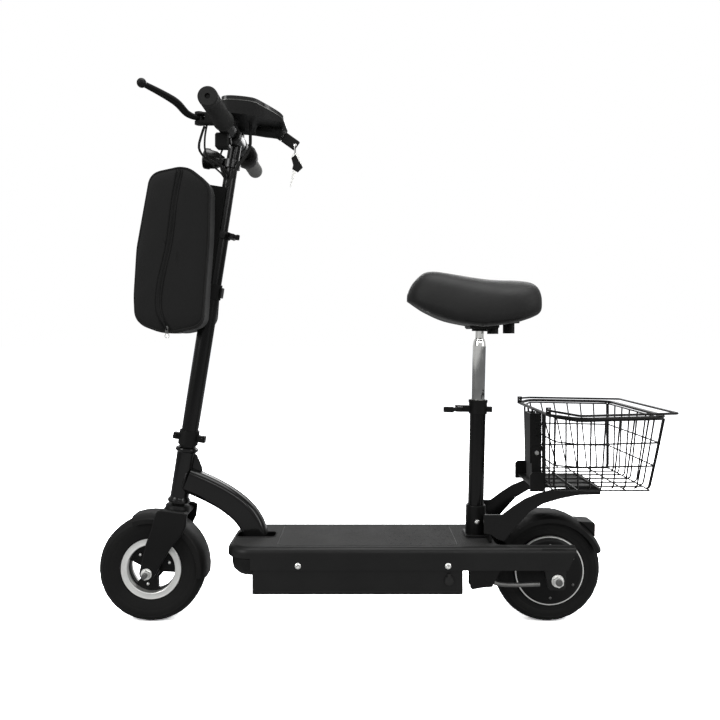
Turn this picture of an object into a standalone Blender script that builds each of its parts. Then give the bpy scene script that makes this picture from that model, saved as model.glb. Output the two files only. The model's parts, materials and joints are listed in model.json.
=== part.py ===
# Seated electric scooter: deck, battery box, curved neck, fork, telescopic stem, saddle on a post,
# wire basket on a curved rack, hub motor rear wheel. Metres, +Z up, the scooter faces -X,
# its left side is -Y, and the origin is on the ground under the middle of the whole outline.
import bpy
import bmesh
from math import atan2, cos, pi, radians, sin, sqrt, tan
from mathutils import Matrix, Vector

# Wheels and wheelbase
WHEEL_R = 0.100
TYRE_W = 0.050
TREAD_FLAT = 0.026
TYRE_BEAD_R = 0.0575
FRONT_AXLE_X = -0.4225
WHEELBASE = 0.750
REAR_AXLE_X = FRONT_AXLE_X + WHEELBASE
AXLE_R = 0.005
REAR_AXLE_R = 0.006

# Small gap that touching solids keep, and the gap round a piece that turns or slides
GAP = 0.0003
RUN = 0.0005

# Steering head
HEAD_ANGLE = radians(9.0)
HEAD_FOOT_Z = 0.224
HEAD_TUBE_R = 0.0175
HEAD_TUBE_LEN = 0.096
STEERER_R = 0.0125
FORK_OFFSET = 0.028
LEG_GAP = 0.037
LEG_T = 0.009
HEADSET_H = 0.009
HEADSET_R = 0.0215
HEAD_LOW_T = -0.005
BRIDGE_LOW_T = -0.0225

# Stem and bars
STEM_R = 0.016
COLLAR_WALL = 0.0030
STEM_EXPOSED = 0.180406
POST_TUBE_R = 0.0123
BAR_HEIGHT_Z = 0.9144
BAR_R = 0.011
BAR_HALF = 0.253
GRIP_LEN = 0.130
GRIP_R = 0.016
THROTTLE_LEN = 0.118

# Neck tube from the head tube down through the deck
NECK_W = 0.034
NECK_H = 0.047
NECK_WALL_ROUND = 0.012

# Deck
DECK_TOP_Z = 0.160
DECK_HALF_W = 0.085
DECK_FRONT_X = -0.2715
DECK_DEPTH = 0.041
DECK_SHEET = 0.0025
DECK_ROLL = 0.011
DECK_CORNER = 0.045
DECK_LIP = 0.022
NOSE_FRONT_X = -0.2645
NOSE_REAR_X = -0.2250
NOSE_TOP_Z = 0.1397
NOSE_LOW_Z = 0.1040
DECK_REAR_X = 0.362
WHEEL_WELL_X = 0.2215
WELL_CORNER = 0.009
RAIL_W = 0.019
SEAM_W = 0.0012
SEAM_DEEP = 0.0007
MAT_FRONT_X = -0.178
MAT_REAR_X = 0.150
MAT_HALF_W = 0.0700
MAT_CORNER = 0.014
DROPOUT_T = 0.0055

# Battery box
BOX_FRONT_X = -0.222
BOX_REAR_X = 0.158
BOX_BOTTOM_Z = 0.075
BOX_HALF_W = 0.0815
BOX_SHEET = 0.002

# Seat
SEAT_X = 0.1928
SEAT_LEAN = radians(1.3)
SEAT_TUBE_R = 0.0152
SEAT_TUBE_LEN = 0.254
SEAT_POST_R = 0.0125
SEAT_SOCKET_R = 0.0190
SEAT_SOCKET_H = 0.058
POST_TOP_T = 0.3965
POST_NECK_R = 0.0080
SADDLE_BASE_FRONT_X = 0.178
SADDLE_BASE_REAR_X = 0.270
SADDLE_BASE_HALF_W = 0.036
SADDLE_BASE_TOP_Z = 0.5760

# Rack and basket
RACK_ARM_Y = 0.058
RACK_ARM_T = 0.004
RACK_END_X = 0.413
BRACKET_HALF_W = 0.0205
BASKET_FRONT_X = 0.3035
BASKET_REAR_X = 0.5000
HANDLE_REAR_X = 0.5203
BASKET_RIM_Z = 0.4015
BASKET_FLOOR_Z = 0.2675
BASKET_FRONT_HALF = 0.116
BASKET_WIDE_HALF = 0.176
BASKET_REAR_HALF = 0.142
BASKET_WIRE = 0.0026
RIM_WIRE_R = 0.0030

# Fenders
FENDER_SHEET = 0.002
REAR_FENDER_R = 0.1070
REAR_FENDER_HALF_W = 0.038
FRONT_FENDER_R = 0.1062
FRONT_FENDER_HALF_W = 0.0335

# Bolts through the deck's sides and the box, and the charge port
BOX_BOLT_X = (-0.1389, 0.1306)
BOX_BOLT_Z = 0.1274
BOX_BOLT_R = 0.0028
PORT_X = 0.1327
PORT_Z = 0.1005

# Lower end of the fork leg, the rear rim seat
LEG_TOE_R = 0.0145
REAR_BEAD_R = 0.0655

# Places on the bar: the brake lever's pivot (X, Z, and its distance in from the grip), and from the bar's
# centre the console, front to rear
LEVER_PIVOT_X = -0.0440
LEVER_PIVOT_Z = 0.0080
LEVER_INSET = 0.0075
CONSOLE_TOP = [(-0.0160, 0.0632), (0.0100, 0.0632), (0.0430, 0.0590), (0.0640, 0.0505), (0.0900, 0.0400)]
CONSOLE_HALF_W = 0.070
CONSOLE_LID = 0.0075
LOCK_START = (0.0720, 0.0, 0.02106)
LOCK_END = (0.0905, 0.0, 0.0078)
LOCK_R = 0.0105
LOCK_BODY = ((0.0400, 0.0, 0.0175), (0.0840, 0.0, 0.0110))
LOCK_BODY_R = 0.0085
KEY_BORE_R = 0.0038
KEY_EYE = 0.0280
RING_R = 0.0105
SPARE_KEY_HEAD = [(0.0005, 0.0040), (0.0052, 0.0020), (0.0110, -0.0110), (0.0148, -0.0238),
                  (0.0052, -0.0330),
                  (-0.0053, -0.0270), (-0.0034, -0.0200), (-0.0070, -0.0062), (-0.0036, 0.0010)]

# Front bag: its side outline from the bar's centre (X, Z, corner radius), and how far the strap band is
# below the bar
BAG_OUTLINE = [(-0.1448, -0.0745, 0.026), (-0.0790, -0.0600, 0.026), (-0.0348, -0.0964, 0.032),
               (-0.0363, -0.1944, 0.060), (-0.0488, -0.3584, 0.026), (-0.1171, -0.3731, 0.030),
               (-0.1733, -0.3524, 0.030), (-0.1753, -0.3044, 0.060), (-0.1698, -0.2144, 0.080)]
BAG_HALF_W = 0.0700
STRAP_DROP = 0.2930

# Saddle sections from nose to tail: X, top Z, bottom Z, half width
SADDLE_STATIONS = [(0.0632, 0.6200, 0.6050, 0.018), (0.0700, 0.6360, 0.6010, 0.030),
                   (0.0800, 0.6495, 0.5945, 0.040), (0.0950, 0.6610, 0.5850, 0.048),
                   (0.1150, 0.6640, 0.5755, 0.056), (0.1400, 0.6600, 0.5665, 0.066),
                   (0.1700, 0.6545, 0.5600, 0.078), (0.2000, 0.6495, 0.5568, 0.089),
                   (0.2300, 0.6465, 0.5592, 0.0965), (0.2580, 0.6455, 0.5640, 0.0995),
                   (0.2750, 0.6445, 0.5690, 0.098), (0.2890, 0.6420, 0.5740, 0.092),
                   (0.2990, 0.6360, 0.5790, 0.081), (0.3045, 0.6260, 0.5860, 0.064),
                   (0.3070, 0.6140, 0.5960, 0.040)]
SADDLE_SIDES = 16

# Rack arm's side outline, and the plate that joins the arms to the seat socket
RACK_OUTLINE = [(0.1990, 0.2130), (0.2327, 0.2130), (0.2538, 0.2286), (0.2749, 0.2424), (0.2980, 0.2519),
                (0.3299, 0.2603), (0.3700, 0.2621), (RACK_END_X, 0.2623), (RACK_END_X, 0.2499),
                (0.3720, 0.2488),
                (0.3399, 0.2424), (0.3079, 0.2330), (0.2831, 0.2182), (0.2540, 0.1860), (0.2364, 0.1636),
                (0.2236, 0.1681), (0.2117, 0.1762), (0.1990, 0.1782)]
RACK_PLATE_X = 0.2100
BASKET_WALL_X = 0.3145
HANDLE_WIRE_R = 0.0022
HANDLE_RISE = 0.0085

# Kickstand pivot and how far its leg leans out when it is down
STAND_PIVOT = (0.2030, -0.0710, 0.0985)
STAND_SPLAY = radians(12.0)

# Shares of a circle used for round pieces
ROUND = 16
WHEEL_STEPS = 24

# Values that follow from the ones above
BOX_TOP_Z = DECK_TOP_Z - DECK_SHEET - 0.014
DECK_SIDE_Z = DECK_TOP_Z - DECK_DEPTH
UNDER_DECK_Z = DECK_TOP_Z - DECK_SHEET
BORE_R = STEERER_R + GAP
FORK_DROP = (WHEEL_R - HEAD_FOOT_Z - FORK_OFFSET * sin(HEAD_ANGLE)) / cos(HEAD_ANGLE)
HEAD_FOOT_X = FRONT_AXLE_X + FORK_OFFSET * cos(HEAD_ANGLE) - FORK_DROP * sin(HEAD_ANGLE)
BAR_T = (BAR_HEIGHT_Z - HEAD_FOOT_Z) / cos(HEAD_ANGLE)
STEM_FOOT_T = HEAD_TUBE_LEN + HEADSET_H + 2 * GAP + 0.001
STEM_TOP_T = BAR_T - STEM_EXPOSED
STEM_LEVER_T = STEM_TOP_T - 0.0035
DROPOUT_OUT = DECK_HALF_W - DECK_SHEET + 0.0004

# Colours
BLACK = (0.018, 0.018, 0.018)
SATIN = (0.03, 0.03, 0.03)
GREY = (0.12, 0.12, 0.12)
STEEL = (0.60, 0.60, 0.60)
CHROME = (0.82, 0.82, 0.82)

parts = None
cutters = None


def start_scene():
    """Empty the scene and make one collection for the pieces and one for the cutters."""
    global parts, cutters
    for obj in list(bpy.data.objects):
        bpy.data.objects.remove(obj, do_unlink=True)
    parts = bpy.data.collections.new("electric_scooter")
    cutters = bpy.data.collections.new("cutters")
    bpy.context.scene.collection.children.link(parts)
    bpy.context.scene.collection.children.link(cutters)


def paint(obj, color, roughness=0.45, metallic=0.0):
    """Give a piece its own Principled material."""
    mat = bpy.data.materials.new(obj.name)
    mat.use_nodes = True
    shader = mat.node_tree.nodes["Principled BSDF"]
    shader.inputs["Base Color"].default_value = (*color, 1.0)
    shader.inputs["Roughness"].default_value = roughness
    shader.inputs["Metallic"].default_value = metallic
    obj.data.materials.clear()
    obj.data.materials.append(mat)


def add(name, mesh):
    """Link a mesh as an object."""
    obj = bpy.data.objects.new(name, mesh)
    parts.objects.link(obj)
    return obj


def from_bmesh(name, bm):
    """Turn a bmesh into an object."""
    mesh = bpy.data.meshes.new(name)
    bm.to_mesh(mesh)
    bm.free()
    return add(name, mesh)


def block(name, low, high):
    """A box between two corners."""
    bm = bmesh.new()
    bmesh.ops.create_cube(bm, size=1.0)
    size = Vector(high) - Vector(low)
    bmesh.ops.scale(bm, vec=size, verts=bm.verts)
    bmesh.ops.translate(bm, vec=(Vector(high) + Vector(low)) / 2, verts=bm.verts)
    return from_bmesh(name, bm)


def rod(name, start, end, radius, steps=ROUND, turn=0.0):
    """A cylinder from one point to another."""
    start, end = Vector(start), Vector(end)
    along = end - start
    bm = bmesh.new()
    bmesh.ops.create_cone(bm, cap_ends=True, segments=steps, radius1=radius, radius2=radius,
                          depth=along.length)
    aim = Vector((0, 0, 1)).rotation_difference(along).to_matrix().to_4x4()
    place = Matrix.Translation((start + end) / 2) @ aim @ Matrix.Rotation(turn, 4, "Z")
    bmesh.ops.transform(bm, matrix=place, verts=bm.verts)
    return from_bmesh(name, bm)


def turned(name, profile, steps=ROUND, closed=False):
    """Turn a profile of (radius, height) pairs, given top to bottom down its outer side, about Z."""
    mesh = bpy.data.meshes.new(name)
    count = len(profile)
    edges = [(i, i + 1) for i in range(count - 1)]
    if closed:
        edges.append((count - 1, 0))
    mesh.from_pydata([(r, 0.0, z) for r, z in profile], edges, [])
    obj = add(name, mesh)
    screw = obj.modifiers.new("turn", "SCREW")
    screw.axis = "Z"
    screw.steps = steps
    screw.render_steps = steps
    screw.use_merge_vertices = True
    screw.merge_threshold = 0.00001
    return obj


def mirrored(profile):
    """The same half profile on the other side of the middle, in reverse order."""
    return [(r, -z) for r, z in reversed(profile)]


def to_mesh(obj):
    """Replace a curve object by a welded mesh object of the same name and place, with whole flat faces."""
    bpy.context.view_layer.update()
    shape = obj.evaluated_get(bpy.context.evaluated_depsgraph_get())
    mesh = bpy.data.meshes.new_from_object(shape)
    bm = bmesh.new()
    bm.from_mesh(mesh)
    bmesh.ops.remove_doubles(bm, verts=bm.verts, dist=0.00001)
    bmesh.ops.dissolve_limit(bm, angle_limit=radians(0.2), verts=bm.verts, edges=bm.edges)
    bmesh.ops.recalc_face_normals(bm, faces=bm.faces)
    bm.to_mesh(mesh)
    bm.free()
    name, place = obj.name, obj.matrix_world.copy()
    bpy.data.objects.remove(obj, do_unlink=True)
    made = add(name, mesh)
    made.matrix_world = place
    return made


def outline_plate(name, outlines, thickness, place):
    """A flat plate from one outline and any holes in it, half its thickness each side of its plane."""
    curve = bpy.data.curves.new(name, "CURVE")
    curve.dimensions = "2D"
    curve.fill_mode = "BOTH"
    curve.extrude = thickness / 2
    for outline in outlines:
        spline = curve.splines.new("POLY")
        spline.points.add(len(outline) - 1)
        for point, (u, v) in zip(spline.points, outline):
            point.co = (u, v, 0.0, 1.0)
        spline.use_cyclic_u = True
    obj = bpy.data.objects.new(name, curve)
    parts.objects.link(obj)
    obj.matrix_world = place
    return to_mesh(obj)


def side_plate(name, outlines, thickness, y):
    """A plate in the X-Z plane, centred on y."""
    upright = Matrix.Translation((0, y, 0)) @ Matrix.Rotation(pi / 2, 4, "X")
    return outline_plate(name, outlines, thickness, upright)


def level_plate(name, outlines, low, high):
    """A plate in the X-Y plane between two heights."""
    return outline_plate(name, outlines, high - low, Matrix.Translation((0, 0, (low + high) / 2)))


def pipe(name, points, radius, sides=2, cyclic=False):
    """A round bar along a list of points."""
    curve = bpy.data.curves.new(name, "CURVE")
    curve.dimensions = "3D"
    curve.bevel_depth = radius
    curve.bevel_resolution = sides
    curve.use_fill_caps = not cyclic
    spline = curve.splines.new("POLY")
    spline.points.add(len(points) - 1)
    for point, co in zip(spline.points, points):
        point.co = (*co, 1.0)
    spline.use_cyclic_u = cyclic
    obj = bpy.data.objects.new(name, curve)
    parts.objects.link(obj)
    return to_mesh(obj)


def smooth_path(points, per_span, cyclic=False):
    """Points along a Catmull-Rom curve through the given ones."""
    found = []
    count = len(points)
    spans = count if cyclic else count - 1
    for i in range(spans):
        if cyclic:
            a, b, c, d = (Vector(points[(i + k) % count]) for k in (-1, 0, 1, 2))
        else:
            a, b, c, d = (Vector(points[min(max(i + k, 0), count - 1)]) for k in (-1, 0, 1, 2))
        for step in range(per_span):
            t = step / per_span
            found.append(0.5 * (2 * b + (c - a) * t + (2 * a - 5 * b + 4 * c - d) * t ** 2
                                + (3 * b - a - 3 * c + d) * t ** 3))
    if not cyclic:
        found.append(Vector(points[-1]))
    return found


def arc(u, v, radius, start, end, steps):
    """Points of an arc, its angles in degrees."""
    angles = [radians(start + (end - start) * i / steps) for i in range(steps + 1)]
    return [(u + radius * cos(a), v + radius * sin(a)) for a in angles]


def fillet(corners, steps=4):
    """An outline whose corners, given as (u, v, radius), are rounded."""
    found = []
    count = len(corners)
    for i, (u, v, radius) in enumerate(corners):
        here = Vector((u, v))
        if radius <= 0:
            found.append((u, v))
            continue
        before = (Vector(corners[i - 1][:2]) - here).normalized()
        after = (Vector(corners[(i + 1) % count][:2]) - here).normalized()
        half = before.angle(after) / 2
        reach = radius / tan(half)
        centre = here + (before + after).normalized() * (radius / sin(half))
        start = here + before * reach - centre
        end = here + after * reach - centre
        first = atan2(start.y, start.x)
        sweep = atan2(end.y, end.x) - first
        sweep = (sweep + pi) % (2 * pi) - pi
        for step in range(steps + 1):
            a = first + sweep * step / steps
            found.append((centre.x + radius * cos(a), centre.y + radius * sin(a)))
    return found


def round_edges(obj, width, segments=2, angle=40.0):
    """Round a piece's sharp edges."""
    bevel = obj.modifiers.new("round", "BEVEL")
    bevel.width = width
    bevel.segments = segments
    bevel.limit_method = "ANGLE"
    bevel.angle_limit = radians(angle)
    return obj


def tool(obj):
    """Make an object a cutter or a joined shape: kept out of the model itself."""
    for collection in list(obj.users_collection):
        collection.objects.unlink(obj)
    cutters.objects.link(obj)
    obj.hide_render = True
    obj.display_type = "WIRE"


def combine(obj, other, operation):
    """Cut another shape from a piece, or join it to the piece."""
    tool(other)
    boolean = obj.modifiers.new(other.name, "BOOLEAN")
    boolean.operation = operation
    boolean.solver = "EXACT"
    boolean.object = other
    return obj


def cut(obj, other):
    return combine(obj, other, "DIFFERENCE")


def join(obj, other):
    return combine(obj, other, "UNION")


def hang(parent, *objects):
    """Place objects that were made in a parent's own axes."""
    for obj in objects:
        obj.parent = parent


def centre_on(obj, point):
    """Put a piece's origin on a point of its joint's axis, with its shape where it was."""
    point = Vector(point)
    obj.data.transform(Matrix.Translation(-point))
    obj.location = obj.location + point


def empty(name, location, tilt):
    """An empty whose Z axis leans back by an angle."""
    made = bpy.data.objects.new(name, None)
    parts.objects.link(made)
    made.location = location
    made.rotation_euler = (0, tilt, 0)
    made.empty_display_size = 0.05
    return made


def shade(obj):
    """Shade round faces smooth and keep sharp edges."""
    obj.data.shade_smooth()
    obj.data.set_sharp_from_angle(angle=radians(35))


def hex_prism(name, centre, direction, across, depth):
    """A hexagon nut or bolt head, its near face at the centre point."""
    start = Vector(centre)
    return rod(name, start, start + Vector(direction) * depth, across / sqrt(3), steps=6)


def across_y(obj, x, z):
    """Lay a piece turned about Z along the Y axis through a point."""
    obj.rotation_euler = (pi / 2, 0, 0)
    obj.location = (x, 0, z)
    return obj


def build_neck(steering):
    """Head tube, curved neck and gusset in one weldment, with its foot plate under the deck."""
    curve = bpy.data.curves.new("neck_frame", "CURVE")
    curve.dimensions = "3D"
    curve.resolution_u = 7
    spline = curve.splines.new("BEZIER")
    spline.bezier_points.add(1)
    start, end = spline.bezier_points
    foot_z = UNDER_DECK_Z - 0.0015
    start.co = (-0.352, 0, 0.2637)
    start.handle_right = (-0.300, 0, 0.2430)
    start.handle_left = (-0.366, 0, 0.2690)
    end.co = (-0.2262, 0, foot_z)
    end.handle_left = (-0.2283, 0, foot_z + 0.053)
    end.handle_right = (-0.2255, 0, foot_z - 0.015)
    section = bpy.data.curves.new("neck_section", "CURVE")
    section.dimensions = "2D"
    ring = section.splines.new("POLY")
    half_w, half_h = NECK_W / 2, NECK_H / 2
    corner = NECK_WALL_ROUND
    outline = fillet([(-half_w, -half_h, corner), (half_w, -half_h, corner),
                      (half_w, half_h, corner), (-half_w, half_h, corner)], 2)
    ring.points.add(len(outline) - 1)
    for point, (u, v) in zip(ring.points, outline):
        point.co = (u, v, 0, 1)
    ring.use_cyclic_u = True
    section_obj = bpy.data.objects.new("neck_section", section)
    cutters.objects.link(section_obj)
    section_obj.hide_render = True
    curve.bevel_mode = "OBJECT"
    curve.bevel_object = section_obj
    curve.use_fill_caps = True
    obj = bpy.data.objects.new("neck_frame", curve)
    parts.objects.link(obj)
    neck = to_mesh(obj)

    tube = rod("head_tube", (0, 0, HEAD_LOW_T + 0.003), (0, 0, HEAD_TUBE_LEN), HEAD_TUBE_R, turn=pi / ROUND)
    flare = HEAD_TUBE_R + 0.0035
    cup = turned("headset_cup", [(0, HEAD_TUBE_LEN + HEADSET_H),
                                 (HEADSET_R - 0.004, HEAD_TUBE_LEN + HEADSET_H),
                                 (HEADSET_R, HEAD_TUBE_LEN + HEADSET_H - 0.003),
                                 (HEADSET_R, HEAD_TUBE_LEN + 0.003),
                                 (HEAD_TUBE_R - 0.001, HEAD_TUBE_LEN - 0.002), (0, HEAD_TUBE_LEN - 0.002)])
    race = turned("lower_cup", [(0, HEAD_LOW_T + 0.008), (HEAD_TUBE_R - 0.001, HEAD_LOW_T + 0.008),
                                (flare, HEAD_LOW_T + 0.004), (flare, HEAD_LOW_T), (0, HEAD_LOW_T)])
    bore = rod("head_bore", (0, 0, HEAD_LOW_T - 0.01), (0, 0, HEAD_TUBE_LEN + HEADSET_H + 0.01), BORE_R)
    hang(steering, tube, cup, race, bore)
    gusset = side_plate("gusset", [[(-0.3500, 0.3155), (-0.3385, 0.3135), (-0.3290, 0.2890),
                                    (-0.3290, 0.2790), (-0.3560, 0.2790)]], 0.006, 0)
    foot = block("neck_foot", (DECK_FRONT_X + DECK_LIP + 0.001, -0.045, foot_z - 0.005),
                 (-0.1850, 0.045, UNDER_DECK_Z - GAP))
    for shape in (tube, cup, race, gusset, foot):
        join(neck, shape)
    cut(neck, bore)
    paint(neck, BLACK, 0.18)
    return neck


def build_deck():
    """Pressed deck with rolled edges, which runs back as two rails with the wheel dropouts in them."""
    w = DECK_HALF_W
    well = w - RAIL_W
    plan = fillet([(DECK_FRONT_X, -w, DECK_CORNER), (DECK_REAR_X, -w, 0), (DECK_REAR_X, -well, 0),
                   (WHEEL_WELL_X, -well, WELL_CORNER), (WHEEL_WELL_X, well, WELL_CORNER), (DECK_REAR_X, well, 0),
                   (DECK_REAR_X, w, 0), (DECK_FRONT_X, w, DECK_CORNER)], 5)
    deck = level_plate("deck_shell", [plan], DECK_SIDE_Z, DECK_TOP_Z)
    roll(deck, DECK_ROLL, 3, deck_roll)
    inset = DECK_SHEET
    void_front = DECK_FRONT_X + DECK_LIP
    inner = w - inset
    void = level_plate("deck_void", [fillet(
        [(void_front, -inner, 0.025), (DECK_REAR_X + 0.010, -inner, 0),
         (DECK_REAR_X + 0.010, -well - inset, 0),
         (WHEEL_WELL_X - inset, -well - inset, WELL_CORNER), (WHEEL_WELL_X - inset, well + inset, WELL_CORNER),
         (DECK_REAR_X + 0.010, well + inset, 0), (DECK_REAR_X + 0.010, inner, 0),
         (void_front, inner, 0.025)],
        4)], DECK_SIDE_Z - 0.01, UNDER_DECK_Z)
    cut(deck, void)
    slot_half = NECK_W / 2 + 0.0015
    slot = level_plate("neck_slot", [fillet([(-0.2620, -slot_half, 0.012), (-0.1880, -slot_half, 0.012),
                                             (-0.1880, slot_half, 0.012), (-0.2620, slot_half, 0.012)], 3)],
                       UNDER_DECK_Z - 0.01, DECK_TOP_Z + 0.01)
    cut(deck, slot)
    cut(deck, block("front_step", (DECK_FRONT_X - 0.01, -w - 0.01, DECK_SIDE_Z - 0.01),
                    (NOSE_REAR_X, w + 0.01, NOSE_TOP_Z + GAP)))
    seam = [fillet([(MAT_FRONT_X - grow, -MAT_HALF_W - grow, MAT_CORNER + grow),
                    (MAT_REAR_X + grow, -MAT_HALF_W - grow, MAT_CORNER + grow),
                    (MAT_REAR_X + grow, MAT_HALF_W + grow, MAT_CORNER + grow),
                    (MAT_FRONT_X - grow, MAT_HALF_W + grow, MAT_CORNER + grow)], 2) for grow in (SEAM_W, 0)]
    cut(deck, level_plate("mat_seam", seam, DECK_TOP_Z - SEAM_DEEP, DECK_TOP_Z + 0.01))
    slope = [(DECK_REAR_X + 0.002, DECK_TOP_Z - 0.002), (DECK_REAR_X - 0.0165, DECK_SIDE_Z - 0.002),
             (DECK_REAR_X + 0.02, DECK_SIDE_Z - 0.002), (DECK_REAR_X + 0.02, DECK_TOP_Z - 0.002)]
    cut(deck, side_plate("rail_end", [slope], 2 * w + 0.04, 0))
    for side in (-1, 1):
        ear = fillet([(REAR_AXLE_X - 0.030, UNDER_DECK_Z + 0.0005, 0), (REAR_AXLE_X - 0.016, 0.083, 0.008),
                      (REAR_AXLE_X + 0.0145, 0.083, 0.008), (REAR_AXLE_X + 0.0155, 0.1150, 0.006),
                      (REAR_AXLE_X + 0.0200, UNDER_DECK_Z + 0.0005, 0)], 3)
        y = side * (DROPOUT_OUT - DROPOUT_T / 2)
        join(deck, side_plate("dropout", [ear], DROPOUT_T, y))
        cut(deck, rod("axle_hole", (REAR_AXLE_X, y - 0.01, WHEEL_R), (REAR_AXLE_X, y + 0.01, WHEEL_R),
                      REAR_AXLE_R + GAP, steps=16))
    for x in BOX_BOLT_X:
        cut(deck, rod("deck_bolt_hole", (x, -0.1, BOX_BOLT_Z), (x, 0.1, BOX_BOLT_Z), BOX_BOLT_R + GAP,
                      steps=8))
    paint(deck, SATIN, 0.55)
    return deck


def weigh_edges(obj, choose):
    """Weight the sharp level edges for a rounding bevel, by what a function gives for each one's middle."""
    bm = bmesh.new()
    bm.from_mesh(obj.data)
    layer = bm.edges.layers.float.new("bevel_weight_edge")
    for edge in bm.edges:
        a, b = (obj.matrix_world @ v.co for v in edge.verts)
        if edge.calc_face_angle(0) > radians(30) and abs(a.z - b.z) < 0.001:
            edge[layer] = choose((a + b) / 2)
    bm.to_mesh(obj.data)
    bm.free()


def roll(obj, width, segments, choose):
    """Round the chosen edges of a pressed piece."""
    weigh_edges(obj, choose)
    bevel = obj.modifiers.new("roll", "BEVEL")
    bevel.width = width
    bevel.segments = segments
    bevel.limit_method = "WEIGHT"


def deck_roll(middle):
    """The outer top edge is rolled all round, and the lower edge only at the front."""
    front = middle.x < DECK_FRONT_X + DECK_CORNER
    outer = abs(middle.y) > DECK_HALF_W - 0.001
    if middle.z > DECK_TOP_Z - 0.001:
        return 1.0 if front or outer else 0.0
    return 0.75 if front else 0.0


def build_nose():
    """Lower front lip that closes the deck's mouth ahead of the battery box."""
    w = DECK_HALF_W - DECK_SHEET - RUN
    plan = fillet([(NOSE_FRONT_X, -w, 0.040), (BOX_FRONT_X - GAP, -w, 0), (BOX_FRONT_X - GAP, w, 0),
                   (NOSE_FRONT_X, w, 0.040)], 4)
    nose = level_plate("nose_cap", [plan], NOSE_LOW_Z, NOSE_TOP_Z)
    middle_z = (NOSE_LOW_Z + NOSE_TOP_Z) / 2
    roll(nose, 0.022, 3, lambda middle: 0.0 if middle.x > BOX_FRONT_X - 0.001
         else 1.0 if middle.z < middle_z else 0.2)
    paint(nose, SATIN, 0.5)


def build_battery():
    """Battery box under the deck, with the pack and the controller that it holds."""
    w = BOX_HALF_W
    pan = level_plate("battery_box", [fillet([(BOX_FRONT_X, -w, 0.004), (BOX_REAR_X, -w, 0.004),
                                              (BOX_REAR_X, w, 0.004), (BOX_FRONT_X, w, 0.004)], 2)],
                      BOX_BOTTOM_Z, BOX_TOP_Z)
    sheet = BOX_SHEET
    cut(pan, block("box_void", (BOX_FRONT_X + sheet, -w + sheet, BOX_BOTTOM_Z + sheet),
                   (BOX_REAR_X - sheet, w - sheet, BOX_TOP_Z + 0.02)))
    port_y = -w
    join(pan, rod("charge_port", (PORT_X, port_y + 0.012, PORT_Z), (PORT_X, port_y - 0.0022, PORT_Z),
                  0.0085,
                  steps=12))
    cut(pan, rod("charge_socket", (PORT_X, port_y + 0.008, PORT_Z), (PORT_X, port_y - 0.01, PORT_Z), 0.0058,
                 steps=12))
    for x in BOX_BOLT_X:
        cut(pan, rod("box_bolt_hole", (x, -0.1, BOX_BOLT_Z), (x, 0.1, BOX_BOLT_Z), BOX_BOLT_R + GAP,
                     steps=8))
    paint(pan, SATIN, 0.5)
    side = w - sheet - 0.006
    low = BOX_BOTTOM_Z + sheet + GAP
    pack = block("battery_pack", (BOX_FRONT_X + sheet + 0.004, -side, low), (0.040, side, low + 0.038))
    round_edges(pack, 0.003, 1)
    paint(pack, (0.05, 0.12, 0.3), 0.5)
    brain = block("controller", (0.048, -0.042, low), (BOX_REAR_X - sheet - 0.006, 0.042, low + 0.030))
    round_edges(brain, 0.002, 1)
    paint(brain, STEEL, 0.4, 0.8)
    for name, x in (("box_bolt_front", BOX_BOLT_X[0]), ("box_bolt_rear", BOX_BOLT_X[1])):
        face = DECK_HALF_W + GAP
        head = 0.0058
        bolt = turned(name, [(0, face + 0.0026), (head * 0.6, face + 0.0022), (head, face + 0.0008),
                             (head, face),
                             (BOX_BOLT_R, face), (BOX_BOLT_R, -face), (head, -face), (head, -face - 0.0008),
                             (head * 0.6, -face - 0.0022), (0, -face - 0.0026)], 10)
        across_y(bolt, x, BOX_BOLT_Z)
        paint(bolt, STEEL, 0.3, 1.0)
    cap = rod("charge_cap", (PORT_X, port_y - 0.0022 - GAP, PORT_Z), (PORT_X, port_y - 0.0044, PORT_Z),
              0.0080,
              steps=12)
    join(cap, block("cap_tab", (PORT_X - 0.003, port_y - 0.0044, PORT_Z + 0.004),
                    (PORT_X + 0.003, port_y - 0.0022 - GAP, PORT_Z + 0.0125)))
    centre_on(cap, (PORT_X, port_y - 0.0033, PORT_Z + 0.0125))
    paint(cap, BLACK, 0.6)


def build_fork(steering):
    """Steerer, crown and two flat tapered legs."""
    top = STEM_FOOT_T + 0.060
    fork = rod("fork", (0, 0, HEAD_LOW_T - 0.010), (0, 0, top), STEERER_R)
    seat = HEAD_LOW_T
    crown = turned("crown", [(0, seat - GAP), (0.0205, seat - GAP), (0.0235, seat - 0.004),
                             (0.0245, seat - 0.012), (0, seat - 0.012)])
    reach = LEG_GAP + LEG_T - 0.002
    bridge = block("bridge", (-0.026, -reach, BRIDGE_LOW_T), (0.024, reach, BRIDGE_LOW_T + 0.0090))
    round_edges(bridge, 0.004, 1)
    axle_x, axle_z = -FORK_OFFSET, FORK_DROP
    toe = LEG_TOE_R
    front = arc(axle_x, axle_z, toe, 175, 270, 4)
    rear = arc(axle_x, axle_z, toe, 285, 350, 3)
    leg_outline = front + rear + [(0.0075, -0.079), (0.0245, -0.050), (0.0295, -0.034), (0.0285, -0.0105),
                                  (0.0200, -0.0080), (-0.0200, -0.0090), (-0.0285, -0.0140),
                                  (-0.0310, -0.026), (-0.0330, -0.049), (-0.0385, -0.076)]
    hang(steering, crown, bridge)
    join(fork, crown)
    join(fork, bridge)
    for side in (-1, 1):
        y = side * (LEG_GAP + LEG_T / 2)
        leg = side_plate("leg", [leg_outline], LEG_T, y)
        round_edges(leg, 0.0022, 1)
        hang(steering, leg)
        join(fork, leg)
        hole = rod("fork_hole", (axle_x, y - 0.02, axle_z), (axle_x, y + 0.02, axle_z), AXLE_R + GAP,
                   steps=16)
        hang(steering, hole)
        cut(fork, hole)
    hang(steering, fork)
    paint(fork, BLACK, 0.35)


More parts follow.
